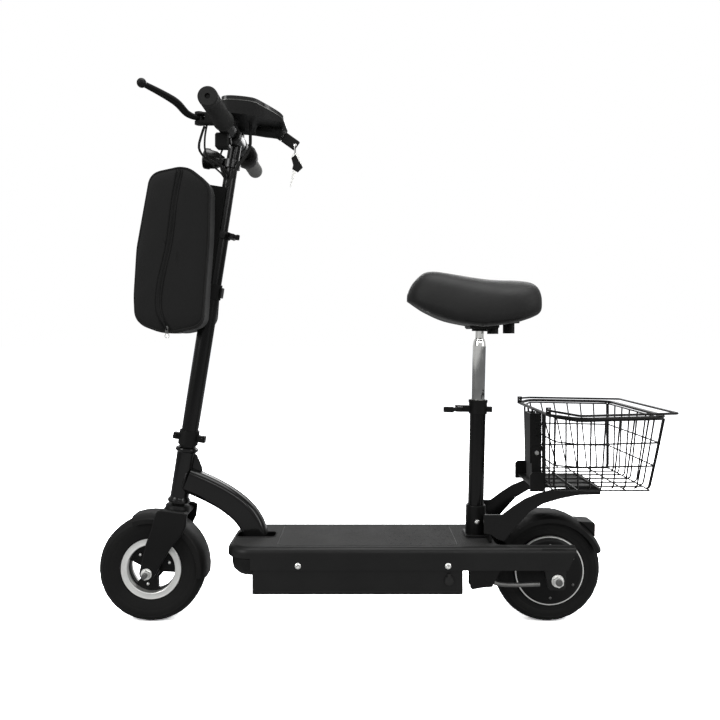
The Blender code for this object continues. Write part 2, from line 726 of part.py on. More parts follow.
def fender_band(name, radius, half_w, skirt, start, end, steps):
    """A channel-shaped fender round a Y axis at the origin, between two angles from straight up,
    which grow towards the rear."""
    side = [(half_w * 0.55, radius), (half_w * 0.88, radius - 0.0045), (half_w, radius - skirt * 0.5),
            (half_w, radius - skirt)]
    section = [(-y, r) for y, r in reversed(side)] + side
    bm = bmesh.new()
    first = radians(start)
    verts = [bm.verts.new((r * sin(first), y, r * cos(first))) for y, r in section]
    edges = [bm.edges.new((a, b)) for a, b in zip(verts, verts[1:])]
    bmesh.ops.spin(bm, geom=verts + edges, cent=(0, 0, 0), axis=(0, 1, 0), angle=radians(end - start),
                   steps=steps, use_merge=False)
    bmesh.ops.recalc_face_normals(bm, faces=bm.faces)
    obj = from_bmesh(name, bm)
    outward = sum(f.normal.dot(f.center) for f in obj.data.polygons)
    shell = obj.modifiers.new("sheet", "SOLIDIFY")
    shell.thickness = FENDER_SHEET
    shell.offset = -1.0 if outward > 0 else 1.0
    shell.use_even_offset = True
    return obj


def tyre(name, bead_r, hub, bead_half):
    """A tyre: an open C section turned about the axle."""
    r, w, flat = WHEEL_R, TYRE_W / 2, TREAD_FLAT / 2
    wall = 0.0045
    outer = [(bead_r, bead_half), (r - 0.023, w - 0.001), (r - 0.0115, w), (r - 0.0035, w - 0.0055),
             (r, flat)]
    inner = [(r - wall - 0.001, flat - 0.003), (r - 0.017, w - wall - 0.001), (bead_r, bead_half - 0.005)]
    made = turned(name, outer + mirrored(outer) + mirrored(inner) + inner, WHEEL_STEPS, closed=True)
    across_y(made, hub, WHEEL_R)
    paint(made, BLACK, 0.8)


def build_front_wheel():
    """Tyre, and a split rim with three broad spokes."""
    tyre("front_tyre", TYRE_BEAD_R, FRONT_AXLE_X, 0.0175)
    rim_r = TYRE_BEAD_R - GAP
    half = [(AXLE_R + GAP, 0.0235), (0.0165, 0.0235), (0.0190, 0.0050), (0.0435, 0.0050), (0.0470, 0.0185),
            (rim_r, 0.0185)]
    rim = turned("front_rim", half + mirrored(half), WHEEL_STEPS, closed=True)
    for spoke in range(3):
        middle = 75 + 120 * spoke
        window = arc(0, 0, 0.0425, middle - 30, middle + 30, 5) + arc(0, 0, 0.0225, middle + 22,
                                                                      middle - 22, 2)
        shape = side_plate("rim_window", [window], 0.03, 0)
        shape.location = (FRONT_AXLE_X, 0, WHEEL_R)
        cut(rim, shape)
    across_y(rim, FRONT_AXLE_X, WHEEL_R)
    paint(rim, SATIN, 0.4)


def build_front_axle():
    """Axle with its spacers, washers and nuts."""
    inner = 0.0235 + RUN
    leg_in = LEG_GAP - GAP
    leg_out = LEG_GAP + LEG_T + GAP
    half = leg_out + 0.0175
    r = AXLE_R
    profile = [(0, half), (r, half), (r, leg_out + 0.0022), (0.0105, leg_out + 0.0022),
               (0.0105, leg_out), (r, leg_out), (r, leg_in), (0.0085, leg_in), (0.0085, inner), (r, inner)]
    axle = turned("front_axle", profile + mirrored(profile), 12)
    across_y(axle, FRONT_AXLE_X, WHEEL_R)
    for side in (-1, 1):
        face = (FRONT_AXLE_X, side * (leg_out + 0.0020), WHEEL_R)
        join(axle, hex_prism("front_nut", face, (0, side, 0), 0.0150, 0.0085))
    paint(axle, STEEL, 0.25, 1.0)


def build_front_fender(steering):
    """Front fender under the crown, which turns with the fork."""
    fender = fender_band("front_fender", FRONT_FENDER_R, FRONT_FENDER_HALF_W, 0.017, -19, 98, 13)
    fender.location = (FRONT_AXLE_X, 0, WHEEL_R)
    pad = block("fender_pad", (-0.008, -0.010, BRIDGE_LOW_T - 0.0060), (0.012, 0.010, BRIDGE_LOW_T - GAP))
    hang(steering, pad)
    join(fender, pad)
    paint(fender, SATIN, 0.45)


def build_stem(steering):
    """Lower stem tube, its split clamp on the steerer, and the collar with the height lever."""
    inner = POST_TUBE_R + GAP
    foot, top = STEM_FOOT_T, STEM_TOP_T
    tube = turned("stem_lower", [(inner, top), (STEM_R, top), (STEM_R, foot), (inner + 0.0007, foot)],
                  ROUND,
                  closed=True)
    hang(steering, tube)
    paint(tube, BLACK, 0.28)

    low, high = foot + 0.004, foot + 0.031
    ring_r = STEM_R + COLLAR_WALL
    clamp = turned("stem_clamp", [(STEM_R + GAP, high), (ring_r, high), (ring_r, low), (STEM_R + GAP, low)],
                   closed=True)
    middle = (low + high) / 2
    for side, depth in ((-1, 0.010), (1, 0.013)):
        ear = block("clamp_ear", (min(side * (ring_r - 0.002), side * (ring_r + depth)), -0.0075,
                                  middle - 0.006),
                    (max(side * (ring_r - 0.002), side * (ring_r + depth)), 0.0075, middle + 0.006))
        bolt_x = side * (ring_r + depth * 0.55)
        pin = rod("clamp_bolt", (bolt_x, -0.0135, middle), (bolt_x, 0.0135, middle), 0.0040, steps=8)
        hang(steering, ear, pin)
        join(clamp, ear)
        join(clamp, pin)
    hang(steering, clamp)
    paint(clamp, BLACK, 0.3)

    low, high = top - 0.010, top + 0.004
    collar = turned("stem_collar", [(inner, high), (ring_r - 0.001, high), (ring_r, high - 0.002),
                                    (ring_r, low),
                                    (STEM_R + GAP, low), (STEM_R + GAP, top + GAP), (inner, top + GAP)],
                    ROUND, closed=True)
    lug_x = ring_r + 0.0040
    middle = STEM_LEVER_T
    lug = block("collar_lug", (ring_r - 0.002, -0.0065, middle - 0.005),
                (lug_x + 0.0035, 0.0065, middle + 0.005))
    skewer = rod("collar_skewer", (lug_x, -0.0105, middle), (lug_x, 0.0120, middle), 0.0024, steps=8)
    knob = rod("collar_nut", (lug_x, 0.0090, middle), (lug_x, 0.0135, middle), 0.0052, steps=10)
    hang(steering, lug, skewer, knob)
    for shape in (lug, skewer, knob):
        join(collar, shape)
    hang(steering, collar)
    paint(collar, BLACK, 0.3)
    lever = cam_lever("stem_lever", 1, 0.0140, 0.0165)
    lever.parent = steering
    lever.location = (lug_x, -0.0105 - 0.0060 - RUN, middle)


def cam_lever(name, way, reach, handle):
    """A quick-release lever lying along X, its hinge axis Z through its own origin."""
    cam = rod(name, (0, 0, -0.0045), (0, 0, 0.0045), 0.0060, steps=16)
    bar = smooth_path([(way * 0.003, 0, 0), (way * reach * 0.45, -0.0025, 0),
                       (way * reach, -0.0005, -0.001)], 3)
    arm = pipe("lever_arm", [tuple(p) for p in bar], 0.0036, 1)
    arm.scale = (1, 0.8, 1.15)
    grip = block("lever_grip", (min(way * reach * 0.7, way * handle), -0.0038, -0.0062),
                 (max(way * reach * 0.7, way * handle), 0.0012, 0.0042))
    round_edges(grip, 0.0012, 1)
    for shape in (arm, grip):
        shape.parent = cam
        join(cam, shape)
    paint(cam, BLACK, 0.35)
    return cam


def build_bars(steering):
    """Upper stem tube with its T head, the straight handlebar and what it carries."""
    low = STEM_TOP_T - 0.150
    post = turned("stem_upper", [(0, BAR_T + 0.012), (POST_TUBE_R, BAR_T + 0.012), (POST_TUBE_R, low),
                                 (0, low)])
    sleeve_r = BAR_R + 0.0042
    sleeve = rod("stem_sleeve", (0, -0.026, BAR_T), (0, 0.026, BAR_T), sleeve_r)
    hole = rod("bar_hole", (0, -0.05, BAR_T), (0, 0.05, BAR_T), BAR_R + GAP)
    cap = rod("stem_cap", (0, 0, BAR_T + sleeve_r - 0.003), (0, 0, BAR_T + sleeve_r + 0.003), 0.009)
    hang(steering, sleeve, hole, cap)
    join(post, sleeve)
    join(post, cap)
    cut(post, hole)
    hang(steering, post)
    paint(post, BLACK, 0.28)

    end = BAR_HALF - 0.004
    bar = turned("handlebar", [(0, end), (BAR_R, end), (BAR_R, -end), (0, -end)])
    across_y(bar, 0, BAR_T)
    hang(steering, bar)
    paint(bar, BLACK, 0.3)

    grip = ribbed_grip("grip_left", GRIP_LEN)
    grip.rotation_euler = (pi / 2, 0, 0)
    grip.location = (0, 0, BAR_T)
    hang(steering, grip)
    paint(grip, SATIN, 0.7)

    throttle = ribbed_grip("throttle_grip", THROTTLE_LEN)
    throttle.rotation_euler = (-pi / 2, 0, 0)
    throttle.location = (0, 0, BAR_T)
    hang(steering, throttle)
    paint(throttle, GREY, 0.6)

    y1 = BAR_HALF - THROTTLE_LEN - RUN
    y0 = y1 - 0.030
    inner = BAR_R + GAP
    housing = turned("throttle_housing", [(inner, y1), (0.0215, y1), (0.0240, y1 - 0.004),
                                          (0.0240, y0 + 0.006),
                                          (0.0200, y0), (inner, y0)], ROUND, closed=True)
    housing.rotation_euler = (-pi / 2, 0, 0)
    housing.location = (0, 0, BAR_T)
    hang(steering, housing)
    paint(housing, BLACK, 0.4)


def ribbed_grip(name, length):
    """A grip with a domed end and an inner flange, turned about Z, its end at the bar's half length."""
    end = BAR_HALF
    root = end - length
    inner = BAR_R + GAP
    wall = 0.004 - GAP
    profile = [(0, end), (GRIP_R - 0.004, end), (GRIP_R - 0.001, end - 0.0015), (GRIP_R, end - 0.005),
               (GRIP_R - 0.0012, end - 0.009)]
    profile += [(GRIP_R - 0.0012, root + 0.016), (GRIP_R, root + 0.013), (GRIP_R + 0.0030, root + 0.004),
                (GRIP_R + 0.0030, root), (inner, root), (inner, end - wall), (0, end - wall)]
    return turned(name, profile, ROUND)


def tapered_pipe(name, points, radii, sides=2):
    """A round bar whose radius changes along its points."""
    curve = bpy.data.curves.new(name, "CURVE")
    curve.dimensions = "3D"
    curve.bevel_depth = 1.0
    curve.bevel_resolution = sides
    curve.use_fill_caps = True
    spline = curve.splines.new("POLY")
    spline.points.add(len(points) - 1)
    for point, co, radius in zip(spline.points, points, radii):
        point.co = (*co, 1.0)
        point.radius = radius
    obj = bpy.data.objects.new(name, curve)
    parts.objects.link(obj)
    return to_mesh(obj)


def build_controls(bars):
    """Brake lever in its bracket with the horn switch, on the left of the bar."""
    outer = -(BAR_HALF - GRIP_LEN) + RUN
    inner = BAR_R + GAP
    ring = turned("lever_bracket", [(inner, outer + 0.044), (0.0150, outer + 0.044),
                                    (0.0165, outer + 0.040),
                                    (0.0165, outer + 0.002), (0.0155, outer), (inner, outer)], ROUND,
                                    closed=True)
    ring.rotation_euler = (-pi / 2, 0, 0)
    px, py, pz = LEVER_PIVOT_X, outer + LEVER_INSET, LEVER_PIVOT_Z
    arm = block("bracket_arm", (px - 0.002, outer + 0.0015, -0.004), (-0.0125, outer + 0.0155, pz + 0.0093))
    round_edges(arm, 0.002, 1)
    knuckle = rod("bracket_knuckle", (px, py + 0.004, pz - 0.0105), (px, py + 0.004, pz + 0.0105), 0.0090,
                  steps=12)
    slot = block("lever_slot", (px - 0.03, py - 0.03, pz - 0.0052), (px + 0.0105, py + 0.016, pz + 0.0052))
    pod = block("switch_pod", (-0.0200, outer + 0.0215, -0.0400), (0.0050, outer + 0.0435, -0.0125))
    round_edges(pod, 0.003, 1)
    recess = rod("horn_recess", (-0.0010, outer + 0.0325, -0.0260), (0.02, outer + 0.0325, -0.0260), 0.0066,
                 steps=12)
    pin = rod("lever_pin", (px, py + 0.004, pz - 0.0095), (px, py + 0.004, pz + 0.0095), 0.0026, steps=8)
    hang(bars, arm, knuckle, slot, pod, recess, ring, pin)
    for shape in (arm, knuckle, pod):
        join(ring, shape)
    cut(ring, slot)
    cut(ring, recess)
    join(ring, pin)
    paint(ring, BLACK, 0.4)

    button = rod("horn_button", (-0.0010 + 0.0025, outer + 0.0325, -0.0260),
                 (0.0075, outer + 0.0325, -0.0260),
                 0.0066 - GAP, steps=12)
    hang(bars, button)
    paint(button, (0.35, 0.05, 0.03), 0.5)

    hub_half = 0.0052 - GAP
    lever = rod("brake_lever", (px, py + 0.004, pz - hub_half), (px, py + 0.004, pz + hub_half), 0.0078,
                steps=12)
    route = smooth_path([(px - 0.002, py - 0.002, pz), (-0.0610, py - 0.0190, 0.0105),
                         (-0.0730, py - 0.0430, 0.0215),
                         (-0.0880, py - 0.0730, 0.0260), (-0.1105, py - 0.1150, 0.0296)], 3)
    count = len(route) - 1
    radii = [0.0038 + 0.0020 * sin(pi * i / count) + 0.0006 * i / count for i in range(count + 1)]
    blade = tapered_pipe("lever_blade", [tuple(p) for p in route], radii, 1)
    ball = bpy.data.meshes.new("lever_ball")
    bm = bmesh.new()
    bmesh.ops.create_uvsphere(bm, u_segments=10, v_segments=6, radius=0.0074)
    bmesh.ops.translate(bm, vec=route[-1], verts=bm.verts)
    bm.to_mesh(ball)
    bm.free()
    tip = add("lever_ball", ball)
    hang(bars, blade, tip)
    join(lever, blade)
    join(lever, tip)
    eye = rod("lever_eye", (px, py + 0.004, pz - 0.02), (px, py + 0.004, pz + 0.02), 0.0026 + 2 * GAP,
              steps=8)
    hang(bars, eye)
    cut(lever, eye)
    centre_on(lever, (px, py + 0.004, pz))
    hang(bars, lever)
    paint(lever, BLACK, 0.35)


def console_plan(name, margin):
    """The console's outline from above, as a tall solid."""
    w = CONSOLE_HALF_W - margin
    front, rear = -0.018 + margin, 0.0970 - margin
    outline = fillet([(front, -w, 0.020), (0.060, -w, 0.030), (rear, -w * 0.55, 0.02),
                      (rear, w * 0.55, 0.02), (0.060, w, 0.030), (front, w, 0.020)], 3)
    return level_plate(name, [outline], -0.05, 0.10)


def build_console(bars):
    """Console pod behind the bar, its lid, the key lock, the key and the spare key on its ring."""
    lower = [(x, z - CONSOLE_LID) for x, z in CONSOLE_TOP]
    outline = lower + [(0.0960, 0.0290), (0.0940, 0.0245), (0.0840, 0.0215), (0.0550, 0.0240),
                       (0.0250, 0.0290), (-0.0140, 0.0330), (-0.0175, 0.0400)]
    base = side_plate("console_base", [outline], 2 * CONSOLE_HALF_W + 0.02, 0)
    plan = console_plan("console_plan", 0.0)
    combine(base, plan, "INTERSECT")
    round_edges(base, 0.0030, 1, 50)
    clip = rod("console_clip", (0, -0.0480, 0), (0, -0.0270, 0), 0.0160)
    clip_far = rod("console_clip_far", (0, 0.0270, 0), (0, 0.0480, 0), 0.0160)
    hole = rod("console_clip_hole", (0, -0.06, 0), (0, 0.06, 0), BAR_R + 2 * GAP)
    foot = block("console_foot", (-0.0090, -0.0470, 0.0100), (0.0090, -0.0280, 0.0380))
    foot_far = block("console_foot_far", (-0.0090, 0.0280, 0.0100), (0.0090, 0.0470, 0.0380))
    lock = rod("lock_barrel", LOCK_START, LOCK_END, LOCK_R)
    body = rod("lock_body", LOCK_BODY[0], LOCK_BODY[1], LOCK_BODY_R)
    saddle = block("lock_saddle", (0.0480, -0.0080, 0.0120), (0.0700, 0.0080, 0.0280))
    way = (Vector(LOCK_END) - Vector(LOCK_START)).normalized()
    bore = rod("lock_bore", Vector(LOCK_END) - way * 0.018, Vector(LOCK_END) + way * 0.01, KEY_BORE_R,
               steps=16)
    hang(bars, base, plan, clip, clip_far, hole, foot, foot_far, lock, body, saddle, bore)
    for shape in (clip, clip_far, foot, foot_far, saddle, body, lock):
        join(base, shape)
    cut(base, hole)
    cut(base, bore)
    paint(base, BLACK, 0.35)

    under = [(x, z - CONSOLE_LID + GAP) for x, z in CONSOLE_TOP]
    lid = side_plate("console_lid", [CONSOLE_TOP + list(reversed(under))], 2 * CONSOLE_HALF_W + 0.02, 0)
    lid_plan = console_plan("lid_plan", 0.0008)
    combine(lid, lid_plan, "INTERSECT")
    round_edges(lid, 0.0025, 1, 50)
    hang(bars, lid, lid_plan)
    paint(lid, GREY, 0.3)

    end = Vector(LOCK_END)
    aim = Vector((1, 0, 0)).rotation_difference(way).to_matrix().to_4x4()
    key = block("ignition_key", (-0.0150, -0.0032, -0.0011), (0.0050, 0.0032, 0.0011))
    head = block("key_head", (RUN, -0.0100, -0.0032), (0.0330, 0.0100, 0.0032))
    round_edges(head, 0.0022, 2)
    eye = rod("key_eye", (KEY_EYE, 0, -0.01), (KEY_EYE, 0, 0.01), 0.0034, steps=12)
    for shape in (key, head, eye):
        shape.data.transform(Matrix.Rotation(pi / 2, 4, "X"))
    for shape in (head, eye):
        shape.parent = key
    join(key, head)
    cut(key, eye)
    key.parent = bars
    key.matrix_local = Matrix.Translation(end) @ aim
    paint(key, BLACK, 0.5)

    hook = end + way * KEY_EYE
    loop = [(hook.x, RING_R * sin(a), hook.z - RING_R + 0.0018 + RING_R * cos(a))
            for a in (2 * pi * i / 20 for i in range(20))]
    ring = pipe("spare_key", loop, 0.0009, 1, cyclic=True)
    base_z = hook.z - 2 * RING_R + 0.0018
    shape = [(x + hook.x, z + base_z) for x, z in SPARE_KEY_HEAD]
    bow = side_plate("spare_key_head", [shape], 0.0048, 0)
    shape = [(hook.x - 0.0040, base_z - 0.030), (hook.x + 0.0022, base_z - 0.030),
             (hook.x - 0.0078, base_z - 0.0610), (hook.x - 0.0096, base_z - 0.0610)]
    blade = side_plate("spare_key_blade", [shape], 0.0022, 0)
    hang(bars, bow, blade)
    join(ring, bow)
    join(ring, blade)
    centre_on(ring, (hook.x, 0, hook.z))
    hang(bars, ring)
    paint(ring, BLACK, 0.5)


def build_headlight(steering, bars):
    """Headlamp on a ring round the upper stem, the cables, all carried by the bars."""
    t = BAR_T - 0.047
    r = POST_TUBE_R + GAP
    ring = turned("headlight", [(r, t + 0.008), (0.0165, t + 0.008), (0.0165, t - 0.008), (r, t - 0.008)],
                  closed=True)
    body = turned("lamp_body", [(0, 0.056), (0.0130, 0.056), (0.0190, 0.0535), (0.0200, 0.051),
                                (0.0200, 0.044),
                                (0.0180, 0.041), (0.0165, 0.030), (0.0090, 0.016), (0, 0.016)])
    body.rotation_euler = (0, -pi / 2, 0)
    body.location = (0, 0, t + 0.004)
    r_cut = rod("lamp_post_hole", (0, 0, t - 0.03), (0, 0, t + 0.04), r)
    hang(steering, ring, body, r_cut)
    join(ring, body)
    cut(ring, r_cut)
    paint(ring, BLACK, 0.35)

    grommet_z = -0.0700
    axis_x = grommet_z * tan(HEAD_ANGLE)
    side = POST_TUBE_R + GAP + 0.0012
    lever_y = -(BAR_HALF - GRIP_LEN) + RUN + LEVER_INSET
    brake = [(-0.0340, lever_y - 0.0015, -0.0066), (-0.0400, lever_y + 0.0020, -0.0200),
             (-0.0480, lever_y + 0.0150, -0.0400),
             (-0.0440, -0.0740, -0.0500), (-0.0300, -0.0460, -0.0540), (-0.0150, -0.0250, -0.0620),
             (axis_x, -side - 0.0010, grommet_z)]
    cable = pipe("brake_cable", [tuple(p) for p in smooth_path(brake, 3)], 0.0022, 2)
    loom_points = [(0.0300, -0.0150, 0.0270), (0.0300, -0.0150, 0.0050), (0.0290, -0.0150, -0.0160), (0.0200, -0.0180, -0.0360),
                   (0.0060, -0.0200, -0.0560), (axis_x - 0.0040, -side - 0.0020, grommet_z - 0.020)]
    loom = pipe("wire_loom", [tuple(p) for p in smooth_path(loom_points, 3)], 0.0030, 2)
    hang(bars, cable, loom)
    paint(cable, BLACK, 0.5)
    paint(loom, BLACK, 0.5)


def build_bag(steering, bars):
    """Front bag held against the stem by a strap band."""
    bag = side_plate("bag", [fillet(BAG_OUTLINE, 2)], 2 * BAG_HALF_W, 0)
    round_edges(bag, 0.020, 2, 50)
    hang(bars, bag)
    groove = rod("bag_groove", (0, 0, 0.2), (0, 0, BAR_T), STEM_R + COLLAR_WALL + GAP)
    hang(steering, groove)
    cut(bag, groove)
    paint(bag, SATIN, 0.75)
    strap = BAR_T - STRAP_DROP
    low, high = strap - 0.0145, strap + 0.0145
    r = STEM_R
    band = turned("bag_strap", [(r + GAP, high), (r + 0.0022, high), (r + 0.0022, low), (r + GAP, low)],
                  ROUND,
                  closed=True)
    buckle = block("strap_buckle", (r + 0.0010, -0.0110, strap - 0.0100),
                   (r + 0.0050, 0.0110, strap + 0.0100))
    round_edges(buckle, 0.001, 1)
    hang(steering, band, buckle)
    join(band, buckle)
    paint(band, BLACK, 0.7)


def build_rear_wheel():
    """Tyre and hub motor: the shell turns with the tyre, the stator stays on the fixed axle."""
    tyre("rear_tyre", REAR_BEAD_R, REAR_AXLE_X, 0.0215)
    bore = REAR_AXLE_R + RUN
    rim_r = REAR_BEAD_R - GAP
    half = [(bore, 0.045), (0.016, 0.045), (0.020, 0.040), (0.058, 0.032), (rim_r, 0.026)]
    hollow = [(0.055, 0.027), (0.018, 0.035), (bore, 0.038)]
    shell = turned("motor_shell", half + mirrored(half) + mirrored(hollow) + hollow, WHEEL_STEPS,
                   closed=True)
    across_y(shell, REAR_AXLE_X, WHEEL_R)
    paint(shell, SATIN, 0.4)
    seat = REAR_AXLE_R + GAP
    core = [(seat, 0.033), (0.0150, 0.033), (0.0150, 0.022), (0.0500, 0.022), (0.0515, 0.020)]
    stator = turned("motor_stator", core + mirrored(core), 20, closed=True)
    across_y(stator, REAR_AXLE_X, WHEEL_R)
    paint(stator, (0.45, 0.20, 0.08), 0.4, 0.6)
    leg_out = DROPOUT_OUT + GAP
    leg_in = DROPOUT_OUT - DROPOUT_T - GAP
    tip = leg_out + 0.0130
    r = REAR_AXLE_R
    half = [(0, tip), (r, tip), (r, leg_out + 0.0020), (0.0115, leg_out + 0.0020),
            (0.0115, leg_out), (r, leg_out), (r, leg_in), (0.0095, leg_in), (0.0095, 0.045 + RUN),
            (r, 0.045 + RUN)]
    axle = turned("rear_axle", half + mirrored(half), 12)
    across_y(axle, REAR_AXLE_X, WHEEL_R)
    for side in (-1, 1):
        join(axle, hex_prism("rear_nut", (REAR_AXLE_X, side * (leg_out + 0.0018), WHEEL_R), (0, side, 0),
                             0.0170, 0.0080))
    paint(axle, STEEL, 0.25, 1.0)


def build_rear_fender():
    """Rear fender with its foot on the wheel well's front wall, and the tail light behind it."""
    fender = fender_band("rear_fender", REAR_FENDER_R, REAR_FENDER_HALF_W, 0.0150, -57, 68, 14)
    fender.location = (REAR_AXLE_X, 0, WHEEL_R)
    wall = WHEEL_WELL_X + GAP
    foot = block("fender_foot", (wall, -0.025, 0.128), (wall + 0.0025, 0.025, 0.1665))
    ledge = block("fender_ledge", (wall, -0.025, 0.1640), (0.2440, 0.025, 0.1665))
    join(fender, foot)
    join(fender, ledge)
    paint(fender, SATIN, 0.45)
    outline = fillet([(0.3700, 0.1915, 0.002), (0.4165, 0.1885, 0.005), (0.4155, 0.1500, 0.005),
                      (0.3780, 0.1450, 0.002)], 3)
    lamp = side_plate("tail_light", [outline], 0.044, 0)
    round_edges(lamp, 0.0015, 1, 50)
    cut(lamp, rod("fender_face", (REAR_AXLE_X, -0.05, WHEEL_R), (REAR_AXLE_X, 0.05, WHEEL_R),
                  REAR_FENDER_R + GAP, steps=64))
    paint(lamp, (0.05, 0.01, 0.01), 0.3)


def build_seat_post(seat):
    """Seat tube in its socket on the deck, its clamp and lever, and the chromed post."""
    tube_in = SEAT_POST_R + GAP
    top = SEAT_TUBE_LEN
    base = 0.0045
    tube = turned("seat_tube", [(tube_in, top), (SEAT_TUBE_R, top), (SEAT_TUBE_R, base + GAP),
                                (tube_in, base + GAP)], ROUND, closed=True)
    hang(seat, tube)
    paint(tube, BLACK, 0.3)

    socket = turned("seat_socket", [(SEAT_TUBE_R + GAP, SEAT_SOCKET_H),
                                    (SEAT_SOCKET_R - 0.001, SEAT_SOCKET_H),
                                    (SEAT_SOCKET_R, SEAT_SOCKET_H - 0.002), (SEAT_SOCKET_R, base - 0.001),
                                    (SEAT_TUBE_R + GAP, base - 0.001)], ROUND, closed=True)
    foot = block("socket_foot", (-0.0215, -0.0240, 0.0015), (0.0230, 0.0240, base))
    round_edges(foot, 0.0010, 1)
    bolt = rod("socket_bolt", (0, -SEAT_TUBE_R - 0.0010, 0.0290), (0, -SEAT_SOCKET_R - 0.0042, 0.0290),
               0.0045,
               steps=6)
    hang(seat, socket, foot, bolt)
    join(socket, foot)
    join(socket, bolt)
    wall_x = RACK_PLATE_X
    plate = block("rack_plate", (wall_x, -RACK_ARM_Y + RACK_ARM_T / 2 + GAP, DECK_TOP_Z + GAP),
                  (wall_x + 0.004, RACK_ARM_Y - RACK_ARM_T / 2 - GAP, 0.2000))
    join(socket, plate)
    paint(socket, BLACK, 0.35)

    low, high = top - 0.022, top + 0.0045
    ring_r = SEAT_TUBE_R + 0.0022
    clamp = turned("seat_clamp", [(SEAT_POST_R + RUN, high), (ring_r + 0.0010, high),
                                  (ring_r + 0.0010, top),
                                  (ring_r, top - 0.0020), (ring_r, low), (SEAT_TUBE_R + GAP, low),
                                  (SEAT_TUBE_R + GAP, top + GAP), (SEAT_POST_R + RUN, top + GAP)], ROUND,
                                  closed=True)
    middle = top - 0.0130
    lug = block("seat_lug", (-0.0430, -0.0065, middle - 0.0060), (-ring_r + 0.002, 0.0065, middle + 0.0060))
    nub = block("seat_nub", (ring_r - 0.002, -0.0055, middle - 0.0055), (0.0265, 0.0055, middle + 0.0045))
    pivot_x = -0.0370
    skewer = rod("seat_skewer", (pivot_x, -0.0105, middle), (pivot_x, 0.0120, middle), 0.0024, steps=8)
    knob = rod("seat_nut", (pivot_x, 0.0090, middle), (pivot_x, 0.0135, middle), 0.0052, steps=10)
    hang(seat, clamp, lug, nub, skewer, knob)
    for shape in (lug, nub, skewer, knob):
        join(clamp, shape)
    paint(clamp, BLACK, 0.3)
    lever = cam_lever("seat_lever", -1, 0.0165, 0.031)
    lever.parent = seat
    lever.location = (pivot_x, -0.0105 - 0.0060 - RUN, middle)

    post = turned("seat_post", [(0, POST_TOP_T), (POST_NECK_R, POST_TOP_T), (POST_NECK_R, 0.3760),
                                (0.0098, 0.3750), (0.0098, 0.3720), (0.0112, 0.3700),
                                (SEAT_POST_R, 0.3600), (SEAT_POST_R, 0.1050), (0, 0.1050)])
    hang(seat, post)
    paint(post, CHROME, 0.12, 1.0)


def build_saddle(seat):
    """Padded saddle, and the base with its clamp that the post holds."""
    bm = bmesh.new()
    rings = []
    for x, high, low, half_w in SADDLE_STATIONS:
        middle = low + (high - low) * 0.35
        ring = []
        for i in range(SADDLE_SIDES):
            a = 2 * pi * i / SADDLE_SIDES
            if sin(a) >= 0:
                wide, tall = abs(cos(a)) ** 0.75, (high - middle) * abs(sin(a)) ** 0.85
            else:
                wide, tall = abs(cos(a)) ** 0.35, (low - middle) * abs(sin(a)) ** 0.60
            y = half_w * wide * (1 if cos(a) >= 0 else -1)
            z = middle + tall
            ring.append(bm.verts.new((x, y, z)))
        rings.append(ring)
    for near, far in zip(rings, rings[1:]):
        for i in range(SADDLE_SIDES):
            j = (i + 1) % SADDLE_SIDES
            bm.faces.new((near[i], near[j], far[j], far[i]))
    bm.faces.new(list(reversed(rings[0])))
    bm.faces.new(rings[-1])
    bmesh.ops.recalc_face_normals(bm, faces=bm.faces)
    saddle = from_bmesh("saddle", bm)
    front, rear, half = SADDLE_BASE_FRONT_X, SADDLE_BASE_REAR_X, SADDLE_BASE_HALF_W
    pocket = block("saddle_pocket", (front - GAP, -half - GAP, 0.50),
                   (rear + GAP, half + GAP, SADDLE_BASE_TOP_Z + GAP))
    cut(saddle, pocket)
    paint(saddle, SATIN, 0.5)
    base = block("saddle_base", (front, -half, 0.5535), (0.2330, half, SADDLE_BASE_TOP_Z))
    round_edges(base, 0.003, 1)
    plate = block("base_plate", (0.2280, -half + 0.001, 0.5640), (rear, half - 0.001, SADDLE_BASE_TOP_Z - 0.001))
    head = rod("saddle_clamp", (0, 0, 0.3895), (0, 0, 0.4050), 0.0150)
    hole = rod("clamp_hole", (0, 0, 0.30), (0, 0, POST_TOP_T + GAP), POST_NECK_R + GAP)
    band = rod("clamp_bolt_bar", (0.0135, -0.0238, 0.3952), (0.0135, 0.0242, 0.3952), 0.0047, steps=8, turn=0.2)
    hang(seat, head, hole, band)
    for shape in (plate, head, band):
        join(base, shape)
    for x, low in ((0.2265, 0.5440), (0.2570, 0.5450)):
        for y in (-0.0200, 0.0200):
            join(base, rod("base_bumper", (x, y, low), (x, y, 0.5670), 0.0070, steps=8))
    cut(base, hole)
    paint(base, BLACK, 0.5)


def rounded(points, reach, steps=3):
    """A path through points with its inner corners rounded, each over the same reach."""
    path = [Vector(points[0])]
    for before, here, after in zip(points, points[1:], points[2:]):
        here = Vector(here)
        start = here + (Vector(before) - here).normalized() * reach
        end = here + (Vector(after) - here).normalized() * reach
        for step in range(steps + 1):
            t = step / steps
            path.append(start * (1 - t) ** 2 + here * 2 * t * (1 - t) + end * t ** 2)
    path.append(Vector(points[-1]))
    return [tuple(p) for p in path]


